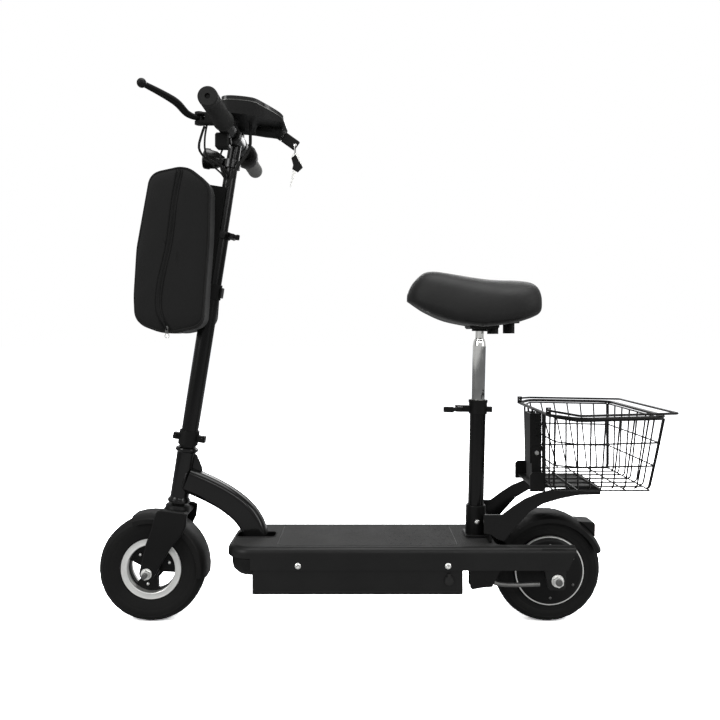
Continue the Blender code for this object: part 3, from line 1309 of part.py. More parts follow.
def build_rack():
    """Two curved rack arms, and the bracket that holds the basket on them."""
    for side, name in ((-1, "rack_arm_left"), (1, "rack_arm_right")):
        arm = side_plate(name, [RACK_OUTLINE], RACK_ARM_T, side * RACK_ARM_Y)
        round_edges(arm, 0.0006, 1, 60)
        paint(arm, BLACK, 0.3)
    top = 0.2626 + 0.0030
    wall_front = BASKET_WALL_X - BASKET_WIRE / 2 - GAP
    wall_rear = BASKET_WALL_X + BASKET_WIRE / 2 + GAP
    bracket = block("basket_bracket", (0.2875, -0.0620, 0.2626), (0.4100, 0.0620, top))
    shapes = []
    tab_y = RACK_ARM_Y + RACK_ARM_T / 2 + GAP
    for side in (-1, 1):
        tab = [(0.2830, 0.2560), (0.2830, 0.2860), (0.2875, 0.2910), (0.3110, 0.2910), (0.3110, 0.2560)]
        shapes.append(side_plate("bracket_tab", [tab], 0.0020, side * (tab_y + 0.0010)))
        shapes.append(block("tab_bridge", (0.2830, side * (tab_y + 0.0010) - 0.0010, 0.2626),
                            (0.3110, side * (tab_y + 0.0010) + 0.0010, top)))
        flange = [(0.2960, top - 0.001), (0.2960, 0.3270), (0.3000, 0.3316), (0.3090, 0.3316),
                  (0.3125, 0.3250), (0.3125, top - 0.001)]
        shapes.append(side_plate("bracket_flange", [flange], 0.0020, side * BRACKET_HALF_W))
        strip_y = side * (BRACKET_HALF_W - 0.0018)
        bolt_y = side * (BRACKET_HALF_W - 0.0002)
        strip = [(0.2930, 0.3000), (0.2930, 0.3945), (wall_front, 0.3945), (wall_front, 0.3000)]
        holes = [arc(0.3065, z, 0.0018, 360, 60, 5) for z in (0.3796, 0.3650, 0.3520)]
        shapes.append(side_plate("bracket_strip", [strip] + holes, 0.0022, strip_y))
        shapes.append(block("backing_bar", (wall_rear, strip_y - 0.0016, 0.2760),
                            (wall_rear + 0.0070, strip_y + 0.0016, 0.3940)))
        for z in (0.3310, 0.3730):
            shapes.append(rod("backing_bolt", (0.3100, bolt_y, z), (0.3200, bolt_y, z), 0.0020, steps=6))
        shapes.append(rod("bracket_bolt", (0.3050, side * (BRACKET_HALF_W - 0.0025), 0.3204),
                          (0.3050, side * (BRACKET_HALF_W + 0.0050), 0.3204), 0.0042, steps=6))
    web_half = BRACKET_HALF_W + 0.0005
    shapes.append(block("bracket_web", (0.2960, -web_half, top - 0.001), (0.2982, web_half, 0.3270)))
    shapes.append(block("strip_web", (0.2930, -web_half + 0.0020, 0.3000), (0.2950, web_half - 0.0020, 0.3945)))
    for shape in shapes:
        join(bracket, shape)
    paint(bracket, BLACK, 0.4)


def spread(points, counts):
    """Points along straight spans, each span divided into its own count."""
    found = [Vector(points[0])]
    for start, end, count in zip(points, points[1:], counts):
        for step in range(1, count + 1):
            found.append(Vector(start).lerp(Vector(end), step / count))
    return found


def net(name, top, bottom, counts, rows):
    """A wire panel between a top line and a bottom line."""
    above, below = spread(top, counts), spread(bottom, counts)
    bm = bmesh.new()
    grid = []
    for row in range(rows + 1):
        grid.append([bm.verts.new(a.lerp(b, row / rows)) for a, b in zip(above, below)])
    for upper, lower in zip(grid, grid[1:]):
        for a, b, c, d in zip(upper, upper[1:], lower[1:], lower):
            bm.faces.new((a, b, c, d))
    obj = from_bmesh(name, bm)
    wires = obj.modifiers.new("wires", "WIREFRAME")
    wires.thickness = BASKET_WIRE
    wires.use_boundary = True
    wires.use_even_offset = False
    paint(obj, BLACK, 0.4)
    return obj


def build_basket():
    """Five wire panels, the rim round their tops and the drop handle on the rim."""
    high = BASKET_RIM_Z - RIM_WIRE_R - GAP - BASKET_WIRE / 2
    low = BASKET_FLOOR_Z + BASKET_WIRE + GAP
    wall = BASKET_WALL_X
    net("basket_front", [(wall, -0.1131, high), (wall, 0.1131, high)],
        [(wall, -0.1045, low), (wall, 0.1045, low)],
        [7], 3)
    for side, name in ((-1, "basket_left"), (1, "basket_right")):
        net(name, [(wall, side * 0.1160, high), (0.3400, side * 0.1700, high),
                   (0.4932, side * 0.1380, high)],
            [(wall, side * 0.1075, low), (0.3400, side * 0.1075, low), (0.4822, side * 0.1060, low)],
            [2, 6], 3)
    net("basket_rear", [(0.4960, -0.1370, high), (0.4960, 0.1370, high)],
        [(0.4850, -0.1050, low), (0.4850, 0.1050, low)], [7], 3)
    net("basket_floor", [(wall, -0.1070, BASKET_FLOOR_Z), (wall, 0.1070, BASKET_FLOOR_Z)],
        [(0.4850, -0.1058, BASKET_FLOOR_Z), (0.4850, 0.1058, BASKET_FLOOR_Z)], [6], 4)

    z = BASKET_RIM_Z
    plan = fillet([(BASKET_FRONT_X, -BASKET_FRONT_HALF, 0.010), (0.3400, -BASKET_WIDE_HALF, 0.025),
                   (BASKET_REAR_X, -BASKET_REAR_HALF, 0.030), (BASKET_REAR_X, BASKET_REAR_HALF, 0.030),
                   (0.3400, BASKET_WIDE_HALF, 0.025), (BASKET_FRONT_X, BASKET_FRONT_HALF, 0.010)], 3)
    rim = pipe("basket_rim", [(x, y, z) for x, y in plan], RIM_WIRE_R, 1, cyclic=True)
    pin_z = z + HANDLE_RISE
    for side in (-1, 1):
        lug = block("rim_lug", (BASKET_FRONT_X - 0.0045, side * 0.1115 - 0.0012, z - 0.001),
                    (BASKET_FRONT_X + 0.0045, side * 0.1115 + 0.0012, pin_z + 0.0048))
        join(rim, lug)
        cut(rim, rod("lug_hole", (BASKET_FRONT_X, side * 0.1115 - 0.01, pin_z),
                     (BASKET_FRONT_X, side * 0.1115 + 0.01, pin_z), HANDLE_WIRE_R + 2 * GAP, steps=10))
    paint(rim, BLACK, 0.35)
    rest = z + RIM_WIRE_R + HANDLE_WIRE_R + GAP
    taper = (BASKET_WIDE_HALF - BASKET_REAR_HALF) / (BASKET_REAR_X - 0.3400)
    reach_y = BASKET_REAR_HALF - (HANDLE_REAR_X - BASKET_REAR_X) * taper
    half = [(BASKET_FRONT_X, -0.1080, pin_z), (BASKET_FRONT_X, -0.1230, pin_z),
            (0.3400, -BASKET_WIDE_HALF, rest), (HANDLE_REAR_X, -reach_y, rest)]
    path = half + [(x, -y, height) for x, y, height in reversed(half)]
    handle = pipe("basket_handle", rounded(path, 0.0065, 3), HANDLE_WIRE_R, 1)
    centre_on(handle, (BASKET_FRONT_X, 0, pin_z))
    paint(handle, BLACK, 0.35)


def build_kickstand():
    """Kickstand bracket under the left side of the deck, and its leg, folded back."""
    x, y, z = STAND_PIVOT
    top = DECK_SIDE_Z - GAP
    outline = [(0.1710, top), (0.2250, top), (0.2180, 0.1040), (0.2100, 0.0890), (0.1950, 0.0880),
               (0.1745, 0.0845),
               (0.1708, 0.0880)]
    bracket = side_plate("kickstand_bracket", [outline], 0.0025, y - 0.0105)
    inner = side_plate("stand_cheek", [outline], 0.0025, y + 0.0105)
    flange = block("stand_flange", (0.1710, y - 0.0115, top - 0.0030), (0.2250, y + 0.0115, top))
    tilt = Vector((0, cos(STAND_SPLAY), -sin(STAND_SPLAY)))
    centre = Vector(STAND_PIVOT)
    pin = rod("stand_pin", centre - tilt * 0.0125, centre + tilt * 0.0125, 0.0035, steps=16)
    for shape in (inner, flange, pin):
        join(bracket, shape)
    paint(bracket, BLACK, 0.4)
    leg = rod("kickstand_leg", centre - tilt * 0.0065, centre + tilt * 0.0065, 0.0078, steps=16)
    end = (0.2986, y + 0.0010, 0.0898)
    route = rounded([(x + 0.002, y, z), (x + 0.020, y, 0.0900), (0.2500, y, 0.0885), end], 0.008)
    bar = pipe("stand_bar", route, 0.0043, 2)
    join(leg, bar)
    cut(leg, rod("stand_bore", centre - tilt * 0.02, centre + tilt * 0.02, 0.0035 + GAP, steps=16))
    centre_on(leg, STAND_PIVOT)
    paint(leg, BLACK, 0.4)


def build():
    """Build every piece in the order of the assembly."""
    start_scene()
    steering = empty("steering_axis", (HEAD_FOOT_X, 0, HEAD_FOOT_Z), HEAD_ANGLE)
    bars = empty("bars_centre", (HEAD_FOOT_X + BAR_T * sin(HEAD_ANGLE), 0, BAR_HEIGHT_Z), 0)
    seat = empty("seat_axis", (SEAT_X, 0, DECK_TOP_Z), SEAT_LEAN)
    build_neck(steering)
    build_deck()
    build_nose()
    build_battery()
    build_fork(steering)
    build_front_wheel()
    build_front_axle()
    build_front_fender(steering)
    build_stem(steering)
    build_bars(steering)
    build_controls(bars)
    build_console(bars)
    build_headlight(steering, bars)
    build_bag(steering, bars)
    build_rear_wheel()
    build_rear_fender()
    build_seat_post(seat)
    build_saddle(seat)
    build_rack()
    build_basket()
    build_kickstand()
    for obj in parts.objects:
        if obj.type == "MESH":
            shade(obj)


build()
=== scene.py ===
import json
import bpy
import bmesh
from math import atan2, cos, pi, radians, sin
from mathutils import Matrix, Vector, noise


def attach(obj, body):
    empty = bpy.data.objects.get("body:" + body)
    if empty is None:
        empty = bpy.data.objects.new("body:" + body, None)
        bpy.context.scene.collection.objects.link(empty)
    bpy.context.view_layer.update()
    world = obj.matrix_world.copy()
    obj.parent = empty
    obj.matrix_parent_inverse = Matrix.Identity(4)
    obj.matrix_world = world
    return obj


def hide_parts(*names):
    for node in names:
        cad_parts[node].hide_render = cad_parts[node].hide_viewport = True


# Seated electric scooter. Metres, +Z up, it faces -X, and its left side (-Y) faces the camera.
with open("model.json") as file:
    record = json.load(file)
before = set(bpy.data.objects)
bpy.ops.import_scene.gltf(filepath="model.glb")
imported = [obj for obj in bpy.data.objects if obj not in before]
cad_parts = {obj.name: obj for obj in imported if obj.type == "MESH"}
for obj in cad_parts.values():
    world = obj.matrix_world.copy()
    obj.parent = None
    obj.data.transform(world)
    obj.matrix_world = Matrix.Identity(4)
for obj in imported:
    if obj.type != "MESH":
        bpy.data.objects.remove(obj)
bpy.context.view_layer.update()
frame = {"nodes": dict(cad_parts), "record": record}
bodyOf = {node: body for body, nodes in frame["record"]["behaviour"]["bodies"].items() for node in nodes}

headLean, postLean = radians(9.0), radians(1.3)
steerPlace = Matrix.Translation((-0.37451, 0, 0.224)) @ Matrix.Rotation(headLean, 4, "Y")  # Z runs up the stem
seatPlace = Matrix.Translation((0.1928, 0, 0.16)) @ Matrix.Rotation(postLean, 4, "Y")  # Z runs up the post
barPlace = Matrix.Translation((-0.26516, 0, 0.9144))  # the middle of the handlebar
alongY = Matrix.Rotation(-pi / 2, 4, "X")  # lays a shape turned about Z along Y
flipX = Matrix.Rotation(pi, 4, "X")
frontHub = Matrix.Translation((-0.4225, 0, 0.1)) @ alongY
rearHub = Matrix.Translation((0.3275, 0, 0.1)) @ alongY
barT = 0.69904  # distance up the stem from its foot to the handlebar


# Finishes: groups give heights and tones, each material keeps its own shader

def addNode(tree, kind, inputs=(), **settings):
    # a shader node, with its settings first, then its inputs as values or as links
    node = tree.nodes.new("ShaderNode" + kind)
    for name, value in settings.items():
        setattr(node, name, value)
    for label, value in dict(inputs).items():
        if isinstance(value, bpy.types.NodeSocket):
            tree.links.new(value, node.inputs[label])
        else:
            node.inputs[label].default_value = value
    return node


def noiseNode(tree, vector, scale, detail, roughness=0.5):
    return addNode(tree, "TexNoise", {"Vector": vector, "Scale": scale, "Detail": detail,
                                      "Roughness": roughness}).outputs["Fac"]


def mathNode(tree, operation, *values):
    return addNode(tree, "Math", enumerate(values), operation=operation).outputs["Value"]


def sprayedPaint(tree, coords, grain):
    # fine orange peel, with slow changes of tone
    return noiseNode(tree, coords, grain, 2.0), noiseNode(tree, coords, 9.0, 3.0, 0.6)


def pressedGrain(tree, coords, grain):
    # leather-like cells pressed into vinyl, rubber and moulded plastic
    warp = addNode(tree, "TexNoise", {"Vector": coords, "Scale": 160.0}).outputs["Color"]
    bent = addNode(tree, "Mix", {"Factor": 0.012, "A": coords, "B": warp}, data_type="VECTOR").outputs["Result"]
    cells = addNode(tree, "TexVoronoi", {"Vector": bent, "Scale": grain}, feature="DISTANCE_TO_EDGE")
    soft = mathNode(tree, "MINIMUM", cells.outputs["Distance"], 0.22)
    return mathNode(tree, "MULTIPLY", soft, 4.5), noiseNode(tree, coords, 14.0, 3.0, 0.6)


def plainWeave(tree, coords, grain):
    # plain weave of a synthetic bag cloth
    split = addNode(tree, "SeparateXYZ", {"Vector": coords}).outputs
    across = mathNode(tree, "ADD", split["X"], split["Y"])
    warp, weft = [mathNode(tree, "SINE", mathNode(tree, "MULTIPLY", way, grain)) for way in (across, split["Z"])]
    woven = mathNode(tree, "MULTIPLY", mathNode(tree, "MULTIPLY", warp, weft), 0.5)
    fuzz = noiseNode(tree, coords, 700.0, 2.0)
    return mathNode(tree, "ADD", woven, fuzz), noiseNode(tree, coords, 16.0, 4.0, 0.65)


def drawnMetal(tree, coords, grain):
    # fine lines of machined or drawn metal, with a few duller patches
    drawn = addNode(tree, "Mapping", {"Vector": coords, "Scale": (1.0, 1.0, 0.12)}).outputs["Vector"]
    return noiseNode(tree, drawn, grain, 3.0, 0.6), noiseNode(tree, coords, 60.0, 3.0, 0.6)


def grainGroup(build):
    # a node group that gives a height and a tone from the fineness of its grain
    group = bpy.data.node_groups.new(build.__name__, "ShaderNodeTree")
    for label, way in (("Grain", "INPUT"), ("Height", "OUTPUT"), ("Tone", "OUTPUT")):
        group.interface.new_socket(label, in_out=way, socket_type="NodeSocketFloat")
    grain = group.nodes.new("NodeGroupInput").outputs["Grain"]
    out = group.nodes.new("NodeGroupOutput")
    coords = addNode(group, "TexCoord").outputs["Object"]
    for label, value in zip(("Height", "Tone"), build(group, coords, grain)):
        group.links.new(value, out.inputs[label])
    return group


groups = {build.__name__: grainGroup(build) for build in (sprayedPaint, pressedGrain, plainWeave, drawnMetal)}
toneSpan = (0.3, 0.7)  # where the tone is darkest and lightest


def makeFinish(name, form, dark, light, rough, bump, grain, metallic=0, specular=0.5, others=()):
    mat = bpy.data.materials.new(name)
    mat.use_nodes = True
    tree = mat.node_tree
    shader = tree.nodes["Principled BSDF"]
    surface = addNode(tree, "Group", {"Grain": grain}, node_tree=groups[form])
    tone = surface.outputs["Tone"]
    ramp = addNode(tree, "ValToRGB", {"Fac": tone})
    for stop, position, level in zip(ramp.color_ramp.elements, toneSpan, (dark, light)):
        stop.position = position
        stop.color = (*level, 1.0) if isinstance(level, tuple) else (level, level, level * 0.97, 1.0)
    spread = addNode(tree, "MapRange", {"Value": tone, "From Min": toneSpan[0], "From Max": toneSpan[1],
                                        "To Min": rough[0], "To Max": rough[1]})
    relief = addNode(tree, "Bump", {"Height": surface.outputs["Height"], "Strength": bump[0], "Distance": bump[1]})
    tree.links.new(ramp.outputs["Color"], shader.inputs["Base Color"])
    tree.links.new(spread.outputs["Result"], shader.inputs["Roughness"])
    tree.links.new(relief.outputs["Normal"], shader.inputs["Normal"])
    for label, value in {"Metallic": metallic, "Specular IOR Level": specular, **dict(others)}.items():
        shader.inputs[label].default_value = value
    return mat


dull = 0.12  # specular of blacks that hardly shine
finishTable = {
    # group, dark and light tone, roughness, bump and its depth, grain, metallic, specular, other sockets
    "glossPaint": ("sprayedPaint", 0.003, 0.004, (0.2, 0.28), (0.02, 0.0002), 420, 0, 0.17,
                   {"Coat Weight": 0.05, "Coat Roughness": 0.16}),
    "neckPaint": ("sprayedPaint", 0.003, 0.005, (0.14, 0.2), (0.02, 0.0002), 420, 0, 0.16,
                  {"Coat Weight": 0.2, "Coat Roughness": 0.07}),
    "satinPaint": ("sprayedPaint", 0.004, 0.006, (0.34, 0.46), (0.1, 0.0002), 1300, 0, dull),
    "deckPaint": ("sprayedPaint", 0.005, 0.008, (0.34, 0.44), (0.1, 0.0002), 1100, 0, 0.2),
    "deckGrip": ("pressedGrain", 0.012, 0.017, (0.72, 0.85), (0.6, 0.0006), 420, 0, 0.35),
    "plastic": ("pressedGrain", 0.005, 0.008, (0.42, 0.55), (0.12, 0.0002), 1500, 0, dull),
    "glossPlastic": ("sprayedPaint", 0.005, 0.007, (0.16, 0.24), (0.02, 0.0002), 300, 0, 0.4),
    "rubber": ("pressedGrain", 0.014, 0.02, (0.62, 0.75), (0.3, 0.0003), 1400, 0, dull),
    "greyRubber": ("pressedGrain", 0.11, 0.15, (0.6, 0.72), (0.3, 0.0003), 1400, 0, dull),
    "tyreRubber": ("sprayedPaint", 0.006, 0.009, (0.55, 0.7), (0.25, 0.0003), 900, 0, dull),
    "bagCloth": ("plainWeave", 0.0045, 0.0075, (0.8, 0.92), (0.3, 0.0003), 2600, 0, 0.2,
                 {"Sheen Weight": 0.08, "Sheen Roughness": 0.5}),
    "webbing": ("plainWeave", 0.004, 0.007, (0.78, 0.9), (0.4, 0.0003), 3600, 0, dull),
    "vinyl": ("pressedGrain", 0.006, 0.009, (0.44, 0.54), (0.25, 0.0003), 900, 0, 0.22),
    "bright": ("drawnMetal", 0.68, 0.78, (0.26, 0.34), (0.02, 0.0001), 500, 1.0),
    "machined": ("drawnMetal", 0.7, 0.8, (0.36, 0.44), (0.05, 0.0001), 700, 0.85),
    "chrome": ("drawnMetal", 0.74, 0.82, (0.06, 0.1), (0.01, 0.0001), 400, 1.0),
    "wire": ("sprayedPaint", 0.006, 0.009, (0.24, 0.34), (0.1, 0.0001), 900, 0, dull),
    "darkSteel": ("drawnMetal", 0.1, 0.16, (0.3, 0.45), (0.1, 0.0001), 500, 0.9),
    "copper": ("drawnMetal", (0.45, 0.17, 0.07), (0.55, 0.24, 0.1), (0.3, 0.45), (0.2, 0.0002), 700, 1.0),
    "cellWrap": ("sprayedPaint", (0.03, 0.08, 0.2), (0.05, 0.12, 0.28), (0.3, 0.4), (0.1, 0.0002), 300),
    "redLens": ("sprayedPaint", (0.1, 0.004, 0.004), (0.16, 0.006, 0.006), (0.12, 0.2), (0.1, 0.0002), 300, 0, 0.5,
                {"Coat Weight": 0.5}),
    "lampGlass": ("sprayedPaint", 0.3, 0.36, (0.1, 0.16), (0.2, 0.0004), 260, 0, 0.5, {"Coat Weight": 0.6}),
    "thread": ("plainWeave", 0.01, 0.015, (0.7, 0.85), (0.3, 0.0002), 5000, 0, dull),
    "display": ("sprayedPaint", 0.004, 0.006, (0.05, 0.09), (0.02, 0.0001), 200, 0, 0.5,
                {"Coat Weight": 0.5, "Coat Roughness": 0.03}),
}
finishes = {name: makeFinish(name, *row) for name, row in finishTable.items()}
print("finishes made", len(finishes))


# Shapes: each function gives a bmesh

def latheShape(profile, steps=64, place=Matrix(), closed=False):
    # profile of (radius, height) pairs, turned about Z and then put in place
    bm = bmesh.new()
    verts = [bm.verts.new((r, 0, h)) for r, h in profile]
    edges = [bm.edges.new(pair) for pair in zip(verts, verts[1:])]
    if closed:
        edges.append(bm.edges.new((verts[-1], verts[0])))
    bmesh.ops.spin(bm, geom=verts + edges, cent=(0, 0, 0), axis=(0, 0, 1), angle=2 * pi, steps=steps,
                   use_merge=True)
    bmesh.ops.remove_doubles(bm, verts=bm.verts, dist=0.000001)
    bmesh.ops.recalc_face_normals(bm, faces=bm.faces)
    bm.transform(place)
    return bm


def mirrored(half):
    # the points, then the same ones back on the other side, where the second number changes its sign
    return half + [(point[0], -point[1], *point[2:]) for point in reversed(half)]


def boxShape(low, high, bevel=0, segments=2, place=Matrix()):
    bm = bmesh.new()
    bmesh.ops.create_cube(bm, size=1.0)
    bmesh.ops.scale(bm, vec=Vector(high) - Vector(low), verts=bm.verts)
    bmesh.ops.translate(bm, vec=(Vector(high) + Vector(low)) / 2, verts=bm.verts)
    if bevel:
        bevelEdges(bm, bm.edges[:], bevel, segments, False)
    bm.transform(place)
    return bm


def plateShape(outline, thickness, middle=0, flat="y", bevel=0):
    # a plate from an outline of (x, z) pairs centred on y, or of (x, y) pairs centred on z
    bm = bmesh.new()
    low = middle - thickness / 2
    verts = [bm.verts.new((u, low, v) if flat == "y" else (u, v, low)) for u, v in outline]
    grown = bmesh.ops.extrude_face_region(bm, geom=[bm.faces.new(verts)])["geom"]
    rise = (0, thickness, 0) if flat == "y" else (0, 0, thickness)
    bmesh.ops.translate(bm, vec=rise, verts=[v for v in grown if isinstance(v, bmesh.types.BMVert)])
    bmesh.ops.recalc_face_normals(bm, faces=bm.faces)
    if bevel:
        bevelSharp(bm, bevel)
    return bm


def bevelEdges(bm, edges, width, segments, clamp=True):
    bmesh.ops.bevel(bm, geom=edges, offset=width, segments=segments, profile=0.5, affect="EDGES",
                    clamp_overlap=clamp, material=-1)


def bevelSharp(bm, width, segments=2, angle=35.0):
    sharp = [e for e in bm.edges if e.is_manifold and e.calc_face_angle(0) > radians(angle)]
    bevelEdges(bm, sharp, width, segments)


def linkObject(name, data):
    holder = bpy.data.objects.new(name, data)
    bpy.context.scene.collection.objects.link(holder)
    return holder


def meshObject(name, bm):
    mesh = bpy.data.meshes.new(name)
    bm.to_mesh(mesh)
    bm.free()
    return linkObject(name, mesh)


def takeShape(holder):
    # an object with its modifiers as a bmesh, and the object gone
    bpy.context.view_layer.update()
    mesh = bpy.data.meshes.new_from_object(holder.evaluated_get(bpy.context.evaluated_depsgraph_get()))
    bm = bmesh.new()
    bm.from_mesh(mesh)
    bpy.data.meshes.remove(mesh)
    bpy.data.objects.remove(holder, do_unlink=True)
    return bm


def sweepShape(runs, radius, sides=4, place=Matrix()):
    # round bars along runs of (points, closed) or (points, closed, radii)
    curve = bpy.data.curves.new("run", "CURVE")
    curve.dimensions = "3D"
    curve.bevel_depth = radius
    curve.bevel_resolution = sides
    curve.use_fill_caps = True
    for points, closed, *radii in runs:
        spline = curve.splines.new("POLY")
        spline.points.add(len(points) - 1)
        for i, (spot, co) in enumerate(zip(spline.points, points)):
            spot.co = (*co, 1.0)
            spot.radius = radii[0][i] if radii else 1.0
        spline.use_cyclic_u = closed
    bm = takeShape(linkObject("run", curve))
    bpy.data.curves.remove(curve)
    bmesh.ops.remove_doubles(bm, verts=bm.verts, dist=0.000002)
    bm.transform(place)
    return bm


def carve(bm, other, operation="DIFFERENCE"):
    # one shape cut from another, or the part that both share
    base, tool = meshObject("base", bm), meshObject("tool", other)
    step = base.modifiers.new("carve", "BOOLEAN")
    step.operation = operation
    step.solver = "EXACT"
    step.object = tool
    made = takeShape(base)
    bpy.data.objects.remove(tool, do_unlink=True)
    return made


def mergeShapes(*shapes):
    # several shapes in one mesh; (shape, material index) pairs set their faces' material
    whole = bmesh.new()
    for entry in shapes:
        shape, index = entry if isinstance(entry, tuple) else (entry, None)
        if index is not None:
            pickFaces(shape, lambda face: index)
        mesh = bpy.data.meshes.new("part")
        shape.to_mesh(mesh)
        shape.free()
        whole.from_mesh(mesh)
        bpy.data.meshes.remove(mesh)
    return whole


def pickFaces(bm, rule):
    # the rule says which faces take the second finish
    for face in bm.faces:
        face.material_index = int(rule(face))


def loftRings(bm, rings):
    # walls between rings of vertices, with both ends closed
    for near, far in zip(rings, rings[1:]):
        for i in range(len(near)):
            j = (i + 1) % len(near)
            bm.faces.new((near[i], near[j], far[j], far[i]))
    bm.faces.new(list(reversed(rings[0])))
    bm.faces.new(rings[-1])
    bmesh.ops.recalc_face_normals(bm, faces=bm.faces)


def arcPoints(x, y, r, first, span, steps):
    # part of a circle, from an angle over a span in degrees
    return [(x + r * cos(radians(first + span * i / steps)), y + r * sin(radians(first + span * i / steps)))
            for i in range(steps + 1)]


def cornerCurve(start, here, end, steps):
    # a rounded corner from one point to another, pulled towards the corner's own point
    return [start * (1 - t) ** 2 + here * 2 * t * (1 - t) + end * t ** 2
            for t in (step / steps for step in range(steps + 1))]


def smoothPath(points, perSpan, closed=False):
    # a soft curve through the given points
    found = []
    count = len(points)
    for i in range(count if closed else count - 1):
        a, b, c, d = (Vector(points[(i + k) % count if closed else min(max(i + k, 0), count - 1)])
                      for k in (-1, 0, 1, 2))
        for step in range(perSpan):
            t = step / perSpan
            found.append(0.5 * (2 * b + (c - a) * t + (2 * a - 5 * b + 4 * c - d) * t ** 2
                                + (3 * b - a - 3 * c + d) * t ** 3))
    if not closed:
        found.append(Vector(points[-1]))
    return found


def roundedPath(points, reach, steps=5, closed=False):
    # straight spans with their corners rounded over a given reach
    count = len(points)
    path = [] if closed else [Vector(points[0])]
    for i in range(count) if closed else range(1, count - 1):
        here = Vector(points[i])
        before, after = Vector(points[i - 1]), Vector(points[(i + 1) % count])
        near = min(reach, (before - here).length / 2, (after - here).length / 2)
        path += cornerCurve(here + (before - here).normalized() * near, here,
                            here + (after - here).normalized() * near, steps)
    if not closed:
        path.append(Vector(points[-1]))
    return path


def nodeShape(node):
    # a merged copy of a CAD node, its flat faces whole again
    bm = bmesh.new()
    bm.from_mesh(frame["nodes"][node].data)
    bmesh.ops.remove_doubles(bm, verts=bm.verts, dist=0.000002)
    bmesh.ops.dissolve_limit(bm, angle_limit=radians(0.5), verts=bm.verts, edges=bm.edges)
    pickFaces(bm, lambda face: False)
    return bm


def addPiece(name, bm, body, mats, nodes=(), sharp=38.0, weighted=True):
    piece = meshObject(name, bm)
    for mat in (mats if isinstance(mats, list) else [mats]):
        piece.data.materials.append(finishes[mat])
    piece.data.shade_smooth()
    piece.data.set_sharp_from_angle(angle=radians(sharp))
    if weighted:
        piece.modifiers.new("evenNormals", "WEIGHTED_NORMAL").keep_sharp = True
    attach(piece, body)
    if nodes:
        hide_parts(*nodes)
    return piece


def dressNode(name, node, mats, bevel, segments=2, rule=None):
    # a CAD node with its edges broken and its round faces smooth
    bm = nodeShape(node)
    if bevel:
        bevelSharp(bm, bevel, segments)
    if rule:
        pickFaces(bm, rule)
    addPiece(name, bm, bodyOf[node], mats, [node])


# Wheels

tyreSettings = {"radius": 0.1, "steps": 144, "notch": 0.0005, "grooveDepth": 0.0016, "tallWall": 0.06,
                "notchEvery": 6, "notchFrom": 0.0915, "notchSide": (0.0118, 0.023)}


def tyreShape(beadR, beadHalf, place):
    # a C section with sidewall ribs and tread grooves, then notches at both shoulders
    s = tyreSettings
    deep = s["radius"] - s["grooveDepth"]
    half = [(s["radius"], 0), (s["radius"], 0.0022), (deep, 0.003), (deep, 0.0042), (0.0999, 0.005),
            (0.0997, 0.0096), (deep - 0.0004, 0.0104), (deep - 0.0006, 0.0116), (0.0986, 0.0124),
            (0.0976, 0.016), (0.0958, 0.0194), (0.093, 0.0219), (0.0905, 0.0236), (0.0882, 0.0245),
            (0.0868, 0.0241), (0.086, 0.0245), (0.082, 0.0247), (0.0775, 0.024), (0.0762, 0.0232),
            (0.0752, 0.0234)]
    if beadR < s["tallWall"]:
        half += [(0.07, 0.0222), (beadR + 0.004, beadHalf + 0.002)]
    half += [(beadR + 0.001, beadHalf + 0.0012), (beadR + 0.0003, beadHalf), (beadR + 0.0003, beadHalf - 0.004),
             (0.079, 0.019), (0.093, 0.014), (0.095, 0)]
    wall = half[1:-1]
    bm = latheShape([half[-1]] + wall[::-1] + [half[0]] + [(r, -h) for r, h in wall], s["steps"], closed=True)
    stepAngle = 2 * pi / s["steps"]
    low, high = s["notchSide"]
    for vert in bm.verts:
        r = vert.co.xy.length
        slot = int(round(atan2(vert.co.y, vert.co.x) / stepAngle)) % s["notchEvery"]
        if r > s["notchFrom"] and low < abs(vert.co.z) < high and slot in ((0, 1) if vert.co.z > 0 else (3, 4)):
            scale = (r - s["notch"]) / r
            vert.co.x *= scale
            vert.co.y *= scale
    bm.transform(place)
    bmesh.ops.recalc_face_normals(bm, faces=bm.faces)
    return bm


def boltRings(profile, steps, hub, radius, depth, angles):
    # the same bolt at each angle round a hub, on both of its sides
    bolts = []
    for side in (-1, 1):
        for angle in angles:
            a = radians(angle)
            spot = Matrix.Translation((radius * cos(a), radius * sin(a), side * depth))
            bolts.append(latheShape(profile, steps, hub @ spot @ (Matrix.Identity(4) if side > 0 else flipX)))
    return mergeShapes(*bolts)


